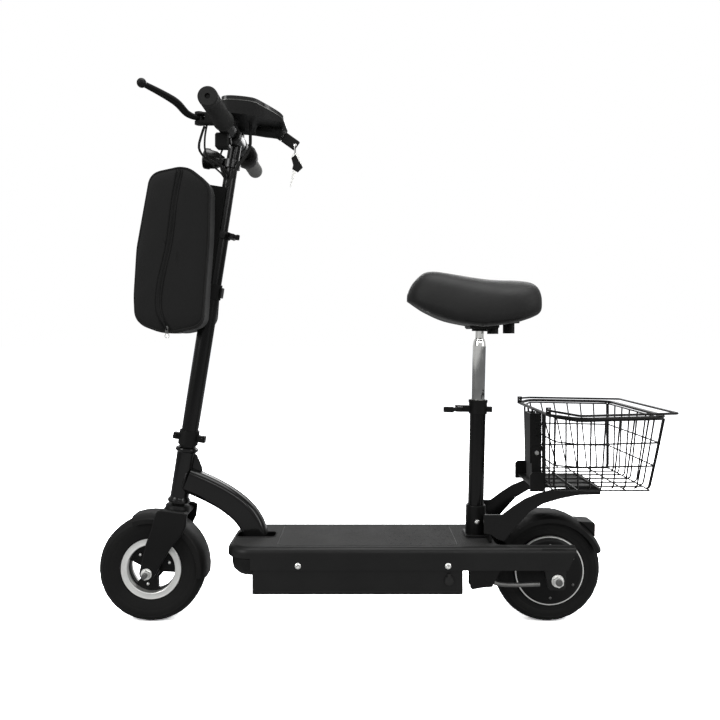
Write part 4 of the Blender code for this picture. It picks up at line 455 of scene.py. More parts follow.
def makeFrontWheel():
    addPiece("frontTyreRubber", tyreShape(0.0575, 0.0175, frontHub), "front_wheel", "tyreRubber", ["front_tyre"], 30)
    lip = [(0.0452, 0.0042), (0.045, 0.0165), (0.0455, 0.018), (0.0466, 0.0185), (0.05, 0.0178),
           (0.0545, 0.018), (0.0566, 0.0186), (0.0572, 0.018), (0.0572, 0.01)]
    addPiece("rimLip", latheShape(mirrored(lip), 96, frontHub, True), "front_wheel", "machined",
             ["front_rim"], 30)
    disc = [(0.0055, 0.0232), (0.015, 0.0232), (0.0162, 0.0222), (0.0172, 0.008), (0.0185, 0.0058),
            (0.04, 0.0052), (0.0451, 0.0052)]
    web = latheShape(mirrored(disc), 96, closed=True)
    for middle in (75, 195, 315):  # the openings between three broad spokes
        outline = arcPoints(0, 0, 0.0432, middle - 31, 62, 12) + arcPoints(0, 0, 0.0215, middle + 20, -40, 6)
        web = carve(web, plateShape(outline, 0.03, 0, "z"))
    bevelSharp(web, 0.0008, 2, 40)
    nearSide = frontHub @ flipX
    web.transform(nearSide)
    bolt = [(0, 0.0034), (0.0012, 0.0034), (0.0013, 0.0022), (0.0016, 0.0022), (0.0016, 0.0036),
            (0.0026, 0.003), (0.0028, 0), (0, 0)]
    bolts = boltRings(bolt, 20, nearSide, 0.033, 0.005, (15, 135, 255))
    addPiece("rimSpokes", web, "front_wheel", "satinPaint")
    addPiece("rimBolts", bolts, "front_wheel", "bright")


def makeRearWheel():
    addPiece("rearTyreRubber", tyreShape(0.0655, 0.0215, rearHub), "rear_wheel", "tyreRubber", ["rear_tyre"], 30)
    cover = [(0.0066, 0.0448), (0.015, 0.0448), (0.0165, 0.044), (0.0195, 0.0405), (0.0215, 0.0396),
             (0.038, 0.0362), (0.04, 0.035), (0.056, 0.0325), (0.0585, 0.0312), (0.0622, 0.0288),
             (0.0624, 0.02)]
    ring = [(0.0622, 0.01), (0.0622, 0.0289), (0.0624, 0.0292), (0.0642, 0.029), (0.0646, 0.0276),
            (0.065, 0.0262), (0.0652, 0.024)]
    shell = latheShape(mirrored(cover), 96, rearHub, True)
    cap = latheShape(mirrored(ring), 96, rearHub, True)

    def isMachined(face):
        middle = rearHub.inverted() @ face.calc_center_median()
        return middle.xy.length > 0.0621 and abs(middle.z) > 0.0268

    pickFaces(cap, isMachined)
    addPiece("motorCover", shell, "rear_wheel", "satinPaint", ["motor_shell"], 25)
    addPiece("motorRing", cap, "rear_wheel", ["satinPaint", "machined"], (), 25)
    screw = [(0, 0.0012), (0.001, 0.0012), (0.0012, 0.0006), (0.0015, 0.0014), (0.0025, 0.0009),
             (0.0027, -0.001), (0, -0.001)]
    screws = boltRings(screw, 16, rearHub, 0.049, 0.0335, range(30, 390, 60))
    addPiece("motorScrews", screws, "rear_wheel", "darkSteel")


makeFrontWheel()
makeRearWheel()
print("wheels made")


# Frame: head tube, curved neck, deck and box

neckSettings = {"width": 0.0336, "height": 0.0466, "corner": 0.0115, "samples": 36}


def makeNeck():
    curve = bpy.data.curves.new("neckRun", "CURVE")
    curve.dimensions = "3D"
    curve.resolution_u = neckSettings["samples"]
    spline = curve.splines.new("BEZIER")
    spline.bezier_points.add(1)
    start, end = spline.bezier_points
    start.co, start.handle_right, start.handle_left = (-0.356, 0, 0.2653), (-0.3, 0, 0.243), (-0.366, 0, 0.269)
    end.co, end.handle_left, end.handle_right = (-0.2262, 0, 0.15), (-0.2283, 0, 0.209), (-0.2255, 0, 0.141)
    section = bpy.data.curves.new("neckSection", "CURVE")
    section.dimensions = "2D"
    ring = section.splines.new("POLY")
    r = neckSettings["corner"]
    w, h = neckSettings["width"] / 2 - r, neckSettings["height"] / 2 - r
    outline = []
    for x, y, first in ((w, h, 0), (-w, h, 90), (-w, -h, 180), (w, -h, 270)):
        outline += arcPoints(x, y, r, first, 90, 6)
    ring.points.add(len(outline) - 1)
    for spot, (u, v) in zip(ring.points, outline):
        spot.co = (u, v, 0, 1)
    ring.use_cyclic_u = True
    sectionHolder = linkObject("neckSection", section)
    curve.bevel_mode = "OBJECT"
    curve.bevel_object = sectionHolder
    curve.use_fill_caps = True
    arm = takeShape(linkObject("neckRun", curve))
    bpy.data.curves.remove(curve)
    bpy.data.objects.remove(sectionHolder, do_unlink=True)
    bpy.data.curves.remove(section)
    bmesh.ops.remove_doubles(arm, verts=arm.verts, dist=0.00001)
    bmesh.ops.recalc_face_normals(arm, faces=arm.faces)
    headTube = [(0.0128, 0.1048), (0.019, 0.1048), (0.0208, 0.104), (0.0214, 0.102), (0.0214, 0.0995),
                (0.0206, 0.0982), (0.018, 0.0968), (0.0176, 0.0955), (0.0175, 0.012), (0.0178, 0.0085),
                (0.0205, 0.005), (0.021, 0.004), (0.021, 0.0004), (0.0128, 0.0004)]
    tube = latheShape(headTube, 64, steerPlace, True)
    neck = carve(arm, latheShape([(0, 0.09), (0.017, 0.09), (0.017, 0.006), (0, 0.006)], 64, steerPlace))
    gusset = plateShape([(-0.35, 0.315), (-0.34, 0.3132), (-0.33, 0.289), (-0.329, 0.279),
                         (-0.356, 0.279)], 0.0056, 0, "y", 0.0008)
    bead = [(-0.3562, 0.0125, 0.282), (-0.3605, 0.0172, 0.265), (-0.366, 0.0135, 0.247)]
    bead = ([(-0.3558, 0, 0.2905)] + bead + [(-0.3672, 0, 0.2415)]
            + [(x, -y, z) for x, y, z in reversed(bead)])
    weld = sweepShape([(smoothPath(bead, 5, True), True)], 0.0016, 3)
    addPiece("neckTubes", mergeShapes(neck, tube, gusset, weld), "chassis", "neckPaint", ["neck_frame"])


makeNeck()

deckSettings = {"front": -0.2715, "rear": 0.362, "half": 0.085, "low": 0.119, "top": 0.16, "corner": 0.045,
                "wellFront": 0.2215, "wellHalf": 0.066, "wellCorner": 0.009, "roll": 0.0125, "sheet": 0.0024,
                "matFront": -0.178, "matRear": 0.15, "matHalf": 0.07}


def deckPlan(inset):
    # the deck from above with the wheel well open at its rear
    s = deckSettings
    w, r, c = s["half"] - inset, s["corner"] - inset, s["wellCorner"] + inset
    front, rear = s["front"] + inset, s["rear"] + inset * 8
    wellHalf, wellFront = s["wellHalf"] + inset, s["wellFront"] - inset
    nose = arcPoints(front + r, -w + r, r, 180, 90, 12)
    side = nose + [(rear, -w), (rear, -wellHalf)] + arcPoints(wellFront + c, -wellHalf + c, c, 180, 90, 5)[::-1]
    return mirrored(side)


def deckBlock(inset, low):
    # the whole deck, or with an inset the hollow under its sheet, its outer top edges rolled
    s = deckSettings
    high = s["top"] - inset
    block = plateShape(deckPlan(inset), high - low, (high + low) / 2, "z")
    edges = []
    for edge in block.edges:
        middle = (edge.verts[0].co + edge.verts[1].co) / 2
        level = abs(edge.verts[0].co.z - edge.verts[1].co.z) < 0.001
        outer = abs(middle.y) > s["half"] - inset - 0.001 or middle.x < s["front"] + s["corner"]
        if level and outer and middle.z > high - 0.001:
            edges.append(edge)
    bevelEdges(block, edges, s["roll"] - inset, 7, False)
    return block


def flatLoop(front, rear, half, z, reach):
    # a level rectangle with rounded corners
    return roundedPath(mirrored([(front, -half, z), (rear, -half, z)]), reach, 5, True)


def makeDeck():
    s = deckSettings
    top = s["top"]
    deck = carve(deckBlock(0, s["low"]), deckBlock(s["sheet"], 0.1))
    deck = carve(deck, boxShape((-0.3, -0.1, 0.1), (-0.225, 0.1, 0.14)))  # step for the nose cap
    slot = [p.xy for p in flatLoop(-0.262, -0.188, 0.0185, 0, 0.012)]
    deck = carve(deck, plateShape(slot, 0.05, top, "z"))
    deck = carve(deck, plateShape([(0.364, 0.158), (0.3455, 0.117), (0.39, 0.117), (0.39, 0.158)], 0.2))
    seam = flatLoop(s["matFront"], s["matRear"], s["matHalf"], top, 0.014)
    deck = carve(deck, sweepShape([(seam, True)], 0.0007, 2))
    pickFaces(deck, lambda face: face.normal.z > 0.99 and face.verts[0].co.z > 0.159)
    corners = [(0.2975, 0, 0.157), (0.3115, 0, 0.083), (0.342, 0, 0.083), (0.343, 0, 0.115),
               (0.3475, 0, 0.157)]
    dropout = [p.xz for p in roundedPath(corners, 0.006, 4, True)]
    ears = [(plateShape(dropout, 0.0055, side * 0.08015, "y", 0.0004), 0) for side in (-1, 1)]
    addPiece("deckPress", mergeShapes(deck, *ears), "chassis", ["deckPaint", "deckGrip"], ["deck_shell"], 32, False)
    rim = sweepShape([(flatLoop(-0.2622, -0.1878, 0.0187, 0.1601, 0.012), True)], 0.0014, 3)
    addPiece("neckSlotTrim", rim, "chassis", "rubber")
    # a small box under the slot that the neck stands in
    front, rear, half, floor, lid = -0.2655, -0.186, 0.0225, 0.1455, 0.1573
    walls = [((front, -half, 0.1437), (rear, half, 0.1457)), ((front, -half, floor), (-0.263, half, lid))]
    walls += [((front, side * 0.0211 - 0.0012, floor), (rear, side * 0.0211 + 0.0012, lid)) for side in (-1, 1)]
    addPiece("neckFootBox", mergeShapes(*[boxShape(*wall, 0.0003, 1) for wall in walls]), "chassis", "satinPaint")
    stud = [(0, 0.0007), (0.0016, 0.0006), (0.0026, 0.0001), (0.0028, -0.0004), (0, -0.0004)]
    spots = [Matrix.Translation((0.03 + 0.018 * i + (0.009 if j % 2 else 0), -0.056 + 0.0224 * j, top))
             for i in range(7) for j in range(6)]
    addPiece("deckStuds", mergeShapes(*[latheShape(stud, 14, spot) for spot in spots]), "chassis", "deckGrip")


makeDeck()

plainNodes = [
    ("nose_cap", "plastic", 0.0005), ("battery_box", "deckPaint", 0.0004), ("seat_socket", "satinPaint", 0.0005),
    ("seat_tube", "glossPaint", 0.0005), ("seat_clamp", "satinPaint", 0.0005),
    ("rack_arm_left", "glossPaint", 0.0004), ("rack_arm_right", "glossPaint", 0.0004),
    ("kickstand_bracket", "satinPaint", 0.0004), ("fork", "satinPaint", 0.0006), ("stem_lower", "glossPaint", 0.0004),
    ("stem_clamp", "satinPaint", 0.0005), ("stem_collar", "satinPaint", 0.0005), ("stem_lever", "satinPaint", 0.0004),
    ("seat_lever", "satinPaint", 0.0004), ("stem_upper", "glossPaint", 0.0005), ("handlebar", "glossPaint", 0.0005),
    ("lever_bracket", "satinPaint", 0.0006), ("throttle_housing", "plastic", 0.0006),
    ("charge_cap", "rubber", 0.0003), ("seat_post", "chrome", 0.0004), ("saddle_base", "plastic", 0.0008),
    ("kickstand_leg", "darkSteel", 0.0003), ("rear_fender", "plastic", 0.0003), ("front_fender", "plastic", 0.0003),
    ("battery_pack", "cellWrap", 0), ("controller", "darkSteel", 0), ("motor_stator", "copper", 0),
    ("brake_cable", "rubber", 0), ("wire_loom", "rubber", 0),
]
for node, finish, bevel in plainNodes:
    dressNode(node + "Skin", node, finish, bevel)
print("plain nodes finished")


# Soft goods: saddle and front bag

saddleSettings = {"sides": 56, "perSpan": 5, "creep": 0.0007, "fill": 0.85, "stapleAngle": 1.18}
# distance back, height of the top, height of the underside, half width
saddleStations = [(0.0632, 0.62, 0.605, 0.018), (0.07, 0.636, 0.601, 0.03), (0.08, 0.6495, 0.5945, 0.04),
                  (0.095, 0.661, 0.585, 0.048), (0.115, 0.664, 0.5755, 0.056), (0.14, 0.66, 0.5665, 0.066),
                  (0.17, 0.6545, 0.56, 0.078), (0.2, 0.6495, 0.5568, 0.089), (0.23, 0.6465, 0.5592, 0.0965),
                  (0.258, 0.6455, 0.564, 0.0995), (0.275, 0.6445, 0.569, 0.098), (0.289, 0.642, 0.574, 0.092),
                  (0.299, 0.636, 0.579, 0.081), (0.3045, 0.626, 0.586, 0.064), (0.307, 0.614, 0.596, 0.04)]


def saddleRow(station, angle, grow=0):
    # a point on the saddle's skin at one station and an angle round it
    x, high, low, half = station
    middle = low + (high - low) * 0.35
    c, up = cos(angle), sin(angle)
    if up >= 0:
        y, z = (half + grow) * abs(c) ** 0.75, middle + (high - middle + grow) * up ** 0.85
    else:
        y, z = (half + grow) * abs(c) ** 0.35, middle - (middle - low + grow) * (-up) ** 0.6
    return Vector((x, y if c >= 0 else -y, z))


def makeSaddle():
    s = saddleSettings
    tops = smoothPath([(x, high, low) for x, high, low, half in saddleStations], s["perSpan"])
    halves = smoothPath([(x, half, 0) for x, high, low, half in saddleStations], s["perSpan"])
    stations = [(a.x, a.y, a.z, b.y) for a, b in zip(tops, halves)]
    bm = bmesh.new()
    rings = []
    for station in stations:
        middle = Vector((station[0], 0, (station[1] + station[2]) / 2))
        ring = []
        for i in range(s["sides"]):
            co = saddleRow(station, 2 * pi * i / s["sides"])
            ripple = noise.noise(co * 34.0) * s["creep"]
            ring.append(bm.verts.new(co + (co - middle).normalized() * (ripple - s["creep"])))
        rings.append(ring)
    loftRings(bm, rings)
    bm = carve(bm, boxShape((0.1776, -0.0364, 0.5), (0.2704, 0.0364, 0.5764)))  # room for the base

    def isUnder(face):
        middle = face.calc_center_median()
        return face.normal.z < -0.72 or (abs(middle.y) < 0.04 and middle.z < 0.577)

    pickFaces(bm, isUnder)
    cover = addPiece("saddleCover", bm, "saddle_unit", ["vinyl", "plastic"], ["saddle"], 50, False)
    staples = []
    for i in range(9):
        for angle in (-s["stapleAngle"], pi + s["stapleAngle"]):
            near, far = [saddleRow(stations[place + 4 * i], angle, -0.0012) for place in (12, 13)]
            middle, reach = (near + far) / 2, (far - near).normalized() * 0.0045
            staples.append(([middle - reach, middle + reach], False))
    addPiece("saddleStaples", sweepShape(staples, 0.0007, 1), "saddle_unit", "bright")


makeSaddle()

bagSettings = {"half": 0.069, "crown": 0.0045, "welt": 0.0017, "crease": 0.0016, "fill": 0.7, "perCorner": 9,
               "between": 7, "flat": 0.925}
# corners of the bag's side from the bar's centre: back, up, and how far each is rounded
bagCorners = [(-0.1448, -0.0745, 0.02), (-0.079, -0.06, 0.02), (-0.0348, -0.0964, 0.02),
              (-0.0363, -0.1944, 0.012), (-0.0488, -0.3584, 0.02), (-0.1171, -0.3731, 0.022),
              (-0.1733, -0.3524, 0.022), (-0.1753, -0.3044, 0.012), (-0.1698, -0.2144, 0.012)]


def bagLine():
    # the bag's side outline, evenly stepped
    corners = [(Vector((x, 0, z)), reach) for x, z, reach in bagCorners]
    line = []
    for i, (here, near) in enumerate(corners):
        before, (after, following) = corners[i - 1][0], corners[(i + 1) % len(corners)]
        end = here + (after - here).normalized() * near
        line += cornerCurve(here + (before - here).normalized() * near, here, end, bagSettings["perCorner"])
        target = after + (here - after).normalized() * following
        line += [end.lerp(target, step / bagSettings["between"]) for step in range(1, bagSettings["between"])]
    return line


def makeBag():
    s = bagSettings
    line = bagLine()
    centre = Vector((-0.107, 0, -0.218))
    half = s["half"]
    steps = [(1.0, half * k / 6) for k in range(6)]
    steps += [(0.998, half - 0.0135), (0.988, half - 0.0075), (0.965, half - 0.003), (s["flat"], half - 0.0006)]
    steps += [(scale, half + s["crown"] * (1 - (scale / s["flat"]) ** 2))
              for scale in (0.84, 0.72, 0.58, 0.44, 0.3, 0.16)]
    bm = bmesh.new()
    rings = []
    for side in (-1, 1):
        for scale, y in (reversed(steps) if side < 0 else steps[1:]):
            ring = []
            for point in line:
                co = centre + (point - centre) * scale
                co.y = side * min(y, 0.07)
                fold = noise.noise(Vector((co.x * 20, co.y * 14, co.z * 13))) * s["crease"]
                out = (point - centre).normalized()
                co -= out * (abs(fold) + 0.0004) * (1.0 if scale > 0.9 else scale)
                if scale < 0.93:
                    co.y -= side * abs(noise.noise(Vector((co.x * 22, side, co.z * 15)))) * s["crease"]
                ring.append(bm.verts.new(co))
            rings.append(ring)
    loftRings(bm, rings)
    bm.transform(barPlace)
    bm = carve(bm, latheShape([(0, 0.25), (0.0193, 0.25), (0.0193, barT), (0, barT)], 48, steerPlace))
    body = addPiece("bagBody", bm, "steering", "bagCloth", ["bag"], 60, False)

    welts = []
    for side in (-1, 1):
        ring = [centre + (point - centre) * 0.972 for point in line]
        for spot in ring:
            spot.y = side * (half - 0.0036)
        welts.append((ring, True))
    addPiece("bagWelts", sweepShape(welts, s["welt"], 3, barPlace), "steering", "thread")

    # zip down the left face: two tape edges, a line of teeth between them, puller and ring at the foot
    run = smoothPath([(-0.09, 0, -0.072), (-0.1005, 0, -0.133), (-0.1095, 0, -0.206), (-0.1255, 0, -0.279),
                      (-0.1275, 0, -0.326), (-0.113, 0, -0.364)], 12)
    tapes = [([Vector((p.x + offset, -0.0696, p.z)) for p in run], False) for offset in (-0.0055, 0.0055)]
    teeth = []
    for near, far in zip(run, run[1:]):
        for x, z in (near.lerp(far, share).xz for share in (0, 0.34, 0.67)):
            teeth.append((boxShape((x - 0.0017, -0.0702, z - 0.0006), (x + 0.0017, -0.0684, z + 0.0006)), 1))
    zipShape = mergeShapes((sweepShape(tapes, 0.0008, 2), 0), *teeth)
    zipShape.transform(barPlace)
    addPiece("bagZip", zipShape, "steering", ["webbing", "plastic"])
    tag = boxShape((-0.1165, -0.07, -0.37), (-0.1105, -0.068, -0.356), 0.0009, 2, barPlace)
    loop = [Vector((-0.113 + 0.0036 * cos(radians(a)), -0.0688, -0.3735 + 0.0042 * sin(radians(a))))
            for a in range(0, 360, 18)]
    ring = sweepShape([(loop, True)], 0.0008, 3, barPlace)
    addPiece("bagPuller", mergeShapes((tag, 0), (ring, 1)), "steering", ["darkSteel", "bright"])

    # stiff flaps of the bag's back, one on each side of the stem
    flaps = [boxShape((-0.034, side * 0.0205 - 0.0011, 0.42), (0.0005, side * 0.0205 + 0.0011, 0.604), 0.0007, 2,
                      steerPlace) for side in (-1, 1)]
    addPiece("bagBackFlaps", mergeShapes(*flaps), "steering", "webbing")

    # strap band with its buckle
    strapT = barT - 0.293
    band = [(r, strapT + h) for r, h in ((0.0163, 0.0145), (0.0178, 0.0145), (0.0182, 0.0135), (0.0179, 0),
                                         (0.0182, -0.0135), (0.0178, -0.0145), (0.0163, -0.0145))]
    buckle = boxShape((0.0172, -0.011, strapT - 0.01), (0.021, 0.011, strapT + 0.01), 0.0012, 2, steerPlace)
    strap = mergeShapes((latheShape(band, 56, steerPlace, True), 0), (buckle, 1))
    addPiece("strapBand", strap, "steering", ["webbing", "plastic"], ["bag_strap"])


makeBag()
print("soft goods made")


# Basket of welded wire

basketSettings = {"wire": 0.0015, "floorZ": 0.2675, "top": 0.3972, "foot": 0.2704, "front": 0.3145,
                  "middle": 0.399, "curl": 0.006}


def alongLine(points, share):
    # the point at a share of a line's length
    lengths = [(Vector(b) - Vector(a)).length for a, b in zip(points, points[1:])]
    left = share * sum(lengths)
    for a, b, length in zip(points, points[1:], lengths):
        if left <= length:
            return Vector(a).lerp(Vector(b), left / length)
        left -= length
    return Vector(points[-1])


def makePanel(name, node, top, bottom, uprights, rows=3):
    # uprights with their feet curled under, and level wires across them
    s = basketSettings
    top = [(x, y, s["top"]) for x, y in top]
    bottom = [(x, y, s["foot"]) for x, y in bottom]
    runs = []
    sink = Vector((0, 0, s["curl"]))
    for i in range(uprights + 1):
        high, low = alongLine(top, i / uprights), alongLine(bottom, i / uprights)
        inward = Vector((s["middle"] - low.x, -low.y, 0)).normalized() * s["curl"]
        runs.append(([high, high.lerp(low, 0.5), low + sink, low + sink * 0.35 + inward * 0.3, low + inward], False))
    for j in [*range(1, rows), 0]:
        level = [alongLine(top, i / 12).lerp(alongLine(bottom, i / 12), j / rows) for i in range(13)]
        runs.append((level, False))
    addPiece(name, sweepShape(runs, s["wire"], 2), "chassis", "wire", [node])


def makeBasket():
    wall, back, z = basketSettings["front"], 0.485, basketSettings["floorZ"]
    makePanel("basketFrontWires", "basket_front", [(wall, -0.1131), (wall, 0.1131)],
              [(wall, -0.1045), (wall, 0.1045)], 7)
    for side, word in ((-1, "Left"), (1, "Right")):
        makePanel("basket" + word + "Wires", "basket_" + word.lower(),
                  [(wall, side * 0.116), (0.34, side * 0.17), (0.4932, side * 0.138)],
                  [(wall, side * 0.1075), (0.34, side * 0.1075), (0.4822, side * 0.106)], 8)
    makePanel("basketRearWires", "basket_rear", [(0.496, -0.137), (0.496, 0.137)],
              [(back, -0.105), (back, 0.105)], 7)
    runs = [(roundedPath(mirrored([(wall, -0.107, z), (back, -0.1058, z)]), 0.006, 4, True), True)]
    for i in range(1, 6):
        y = -0.1065 + 0.213 * i / 6
        runs.append(([(wall, y, z), (back, y, z)], False))
    for i in range(1, 4):
        x = wall + (back - wall) * i / 4
        runs.append(([(x, -0.1062, z), (x, 0.1062, z)], False))
    addPiece("basketFloorWires", sweepShape(runs, basketSettings["wire"], 2), "chassis", "wire", ["basket_floor"])
    for name, node in (("basketRimBar", "basket_rim"), ("basketHandleBar", "basket_handle")):
        addPiece(name, nodeShape(node), bodyOf[node], "wire", [node], 50)


makeBasket()
print("basket made")


# Small parts: lamps, grips, keys, nuts and bolts

gripSettings = {"end": 0.253, "pitch": 0.004, "crest": 0.016, "groove": 0.0155}


def gripShape(side, near):
    # a ribbed sleeve from its collar to the open end of the bar
    s = gripSettings
    far, crest, groove = s["end"], s["crest"], s["groove"]
    profile = [(0.0113, near), (0.0172, near), (0.0184, near + 0.0008), (0.0184, near + 0.0036),
               (0.0166, near + 0.005)]
    rib = near + 0.008
    while rib < far - 0.016:
        profile += [(crest, rib), (crest, rib + 0.0018), (groove, rib + 0.0024), (groove, rib + 0.0034)]
        rib += s["pitch"]
    profile += [(crest, far - 0.012), (0.0162, far - 0.009), (crest, far - 0.0022), (0.0146, far),
                (0.0045, far), (0.0045, far - 0.003), (0.0112, far - 0.003)]
    return latheShape(profile, 56, barPlace @ Matrix.Rotation(side * -pi / 2, 4, "X"), True)


def makeDetails():
    dressNode("tailLamp", "tail_light", ["plastic", "redLens"], 0.001, 2, lambda face: face.normal.x > 0.55)
    for name, node, finish, side, near in (("gripSleeveLeft", "grip_left", "rubber", -1, 0.123),
                                           ("gripSleeveRight", "throttle_grip", "greyRubber", 1, 0.135)):
        addPiece(name, gripShape(side, near), bodyOf[node], finish, [node], 30)
    dressNode("hornCap", "horn_button", "plastic", 0.0006)
    dressNode("lampBody", "headlight", ["glossPlastic", "lampGlass"], 0.0004, 1,
              lambda face: face.normal.x < -0.85 and face.calc_center_median().x < -0.3245)
    dressNode("keyInLock", "ignition_key", ["plastic", "bright"], 0.0004, 2,
              lambda face: face.calc_center_median().x < -0.176)
    dressNode("keyOnRing", "spare_key", ["plastic", "bright"], 0.0003, 1,
              lambda face: not 0.8455 < face.calc_center_median().z < 0.8805)

    across = 0.0042 / 2 / cos(pi / 6)  # six-sided sockets in both heads of the box's bolts
    hexHole = [(0, 0.002), (across, 0.002), (across, -0.002), (0, -0.002)]
    for name, node in (("boxBoltFrontHead", "box_bolt_front"), ("boxBoltRearHead", "box_bolt_rear")):
        bolt = nodeShape(node)
        bevelSharp(bolt, 0.0004)
        x, z = [sum(v.co[axis] for v in bolt.verts) / len(bolt.verts) for axis in (0, 2)]
        reach = max(abs(v.co.y) for v in bolt.verts)
        for side in (-1, 1):
            head = Matrix.Translation((x, side * reach, z)) @ Matrix.Rotation(side * -pi / 2, 4, "X")
            bolt = carve(bolt, latheShape(hexHole, 6, head))
        addPiece(name, bolt, "chassis", "bright", [node])
    for name, node, hub, stub in (("frontAxleNuts", "front_axle", frontHub, 0.0057),
                                  ("rearAxleNuts", "rear_axle", rearHub, 0.0067)):
        toHub = hub.inverted()
        dressNode(name, node, ["bright", "darkSteel"], 0.0005, 2, lambda face: all(
            p.xy.length < stub and abs(p.z) > 0.05 for p in (toHub @ v.co for v in face.verts)))

    def onBolt(face):
        middle = face.calc_center_median()
        return abs(middle.x - 0.305) < 0.0046 and abs(middle.z - 0.3204) < 0.0046 and abs(middle.y) > 0.0217

    dressNode("basketBracketPlates", "basket_bracket", ["satinPaint", "bright"], 0.0003, 1, onBolt)
    head = [(0, 0.0048), (0.003, 0.0047), (0.0046, 0.0036), (0.005, 0.0016), (0.005, 0), (0, 0)]
    boltPlace = seatPlace @ Matrix.Translation((0, -0.019, 0.029)) @ Matrix.Rotation(pi / 2, 4, "X")
    addPiece("socketBoltHead", latheShape(head, 24, boltPlace), "chassis", "bright")


consoleSettings = {"lid": 0.0075, "half": 0.07, "roll": 0.0036, "blank": 0.16, "lidRoll": 0.0048,
                   "glassWidth": 0.076, "corner": 0.017}
consoleTop = [(-0.016, 0, 0.0632), (0.01, 0, 0.0632), (0.043, 0, 0.059), (0.064, 0, 0.0505),
              (0.09, 0, 0.04), (0.0955, 0, 0.035)]


def cutConsole(outline, margin):
    # a side outline made as wide as the blank, then cut to the console's shape from above
    s = consoleSettings
    w, front, rear = s["half"] - margin, -0.018 + margin, 0.097 - margin
    half = [(front, -w, 0), (0.06, -w, 0), (rear, -w * 0.55, 0)]
    plan = [p.xy for p in roundedPath(mirrored(half), s["corner"], 6, True)]
    return carve(plateShape(outline, s["blank"]), plateShape(plan, s["blank"], 0.03, "z"), "INTERSECT")


def alongTop(line, x):
    # height of the console's top at a distance behind the bar
    for (ax, az), (bx, bz) in zip(line, line[1:]):
        if ax <= x <= bx:
            return az + (bz - az) * (x - ax) / (bx - ax)
    return line[0][1] if x < line[0][0] else line[-1][1]


def rodPlace(start, end):
    # a place whose Z runs from one point towards another
    way = Vector(end) - Vector(start)
    return Matrix.Translation(start) @ Vector((0, 0, 1)).rotation_difference(way).to_matrix().to_4x4()


def makeConsole():
    s = consoleSettings
    top = [p.xz for p in smoothPath(consoleTop, 6)]
    under = [(x, z - s["lid"]) for x, z in top]
    belly = [(0.0962, 0.0268), (0.0948, 0.025), (0.092, 0.0236), (0.084, 0.0215), (0.055, 0.024),
             (0.025, 0.029), (-0.012, 0.0325), (-0.016, 0.0345), (-0.0175, 0.04)]
    base = cutConsole(under + belly, 0)
    bevelSharp(base, s["roll"], 3, 50)
    parts = [base]
    for side in (-1, 1):  # clips round the bar, and their legs
        clip = latheShape([(0.0114, 0.027), (0.0152, 0.027), (0.016, 0.0278), (0.016, 0.0472),
                           (0.0152, 0.048), (0.0114, 0.048)], 48, alongY, True)
        if side < 0:
            clip.transform(Matrix.Rotation(pi, 4, "Z"))
        low, high = sorted((side * 0.0285, side * 0.0465))
        parts += [clip, boxShape((-0.009, low, 0.0125), (0.009, high, 0.038), 0.0015)]
    parts.append(boxShape((0.048, -0.008, 0.012), (0.07, 0.008, 0.028), 0.0015))
    lockTube = [(0, 0), (0.0085, 0), (0.0085, 0.044), (0, 0.044)]
    parts.append(latheShape(lockTube, 40, rodPlace((0.04, 0, 0.0175), (0.084, 0, 0.011))))
    barrel = [(0, 0), (0.01, 0), (0.0105, 0.001), (0.0105, 0.015), (0.0099, 0.0155), (0.0099, 0.0165),
              (0.0105, 0.017), (0.0105, 0.0216), (0.0094, 0.0227), (0.0066, 0.0227), (0.006, 0.022),
              (0.0042, 0.022), (0.0042, 0.005), (0, 0.005)]
    parts.append(latheShape(barrel, 48, rodPlace((0.072, 0, 0.02106), (0.0905, 0, 0.0078))))
    whole = mergeShapes(*parts)

    lid = cutConsole(top + [(x, z + 0.0006) for x, z in reversed(under)], 0.0008)
    ridge = []
    for edge in lid.edges:
        tall = all(v.co.z > 0.0008 + alongTop(top, v.co.x) - 0.002 for v in edge.verts)
        if tall and edge.is_manifold and edge.calc_face_angle(0) > radians(50):
            ridge.append(edge)
    bevelEdges(lid, ridge, s["lidRoll"], 5)
    face = [(0.012, 0.0637), (0.03, 0.0616), (0.043, 0.0597), (0.06, 0.0532)]
    glass = plateShape(face + [(x, z - 0.002) for x, z in reversed(face)], s["glassWidth"], 0, "y", 0.0006)
    # a thin strip at the seam between lid and base: a real seam, but its grey metal finish is a painted highlight, a
    # light line standing in for the lid edge catching the light
    sealHighlight = cutConsole([(x, z + 0.0004) for x, z in under] + [(x, z - 0.0007) for x, z in reversed(under)], -0.0003)
    for name, shape, finish, nodes, sharp in (("consoleBody", whole, "plastic", ["console_base"], 40),
                                              ("consoleCover", lid, "glossPlastic", ["console_lid"], 40),
                                              ("consoleGlass", glass, "display", (), 38),
                                              # the seam strip's grey metal finish paints a highlight line along the
                                              # lid's lower edge
                                              ("consoleSealHighlight", sealHighlight, "darkSteel", (), 38)):
        shape.transform(barPlace)
        addPiece(name, shape, "bars", finish, nodes, sharp)


leverSettings = {"pivot": (-0.044, -0.111, 0.008), "blade": 0.0045, "swell": 0.0021, "ball": 0.0077,
                 "cable": 0.0017}


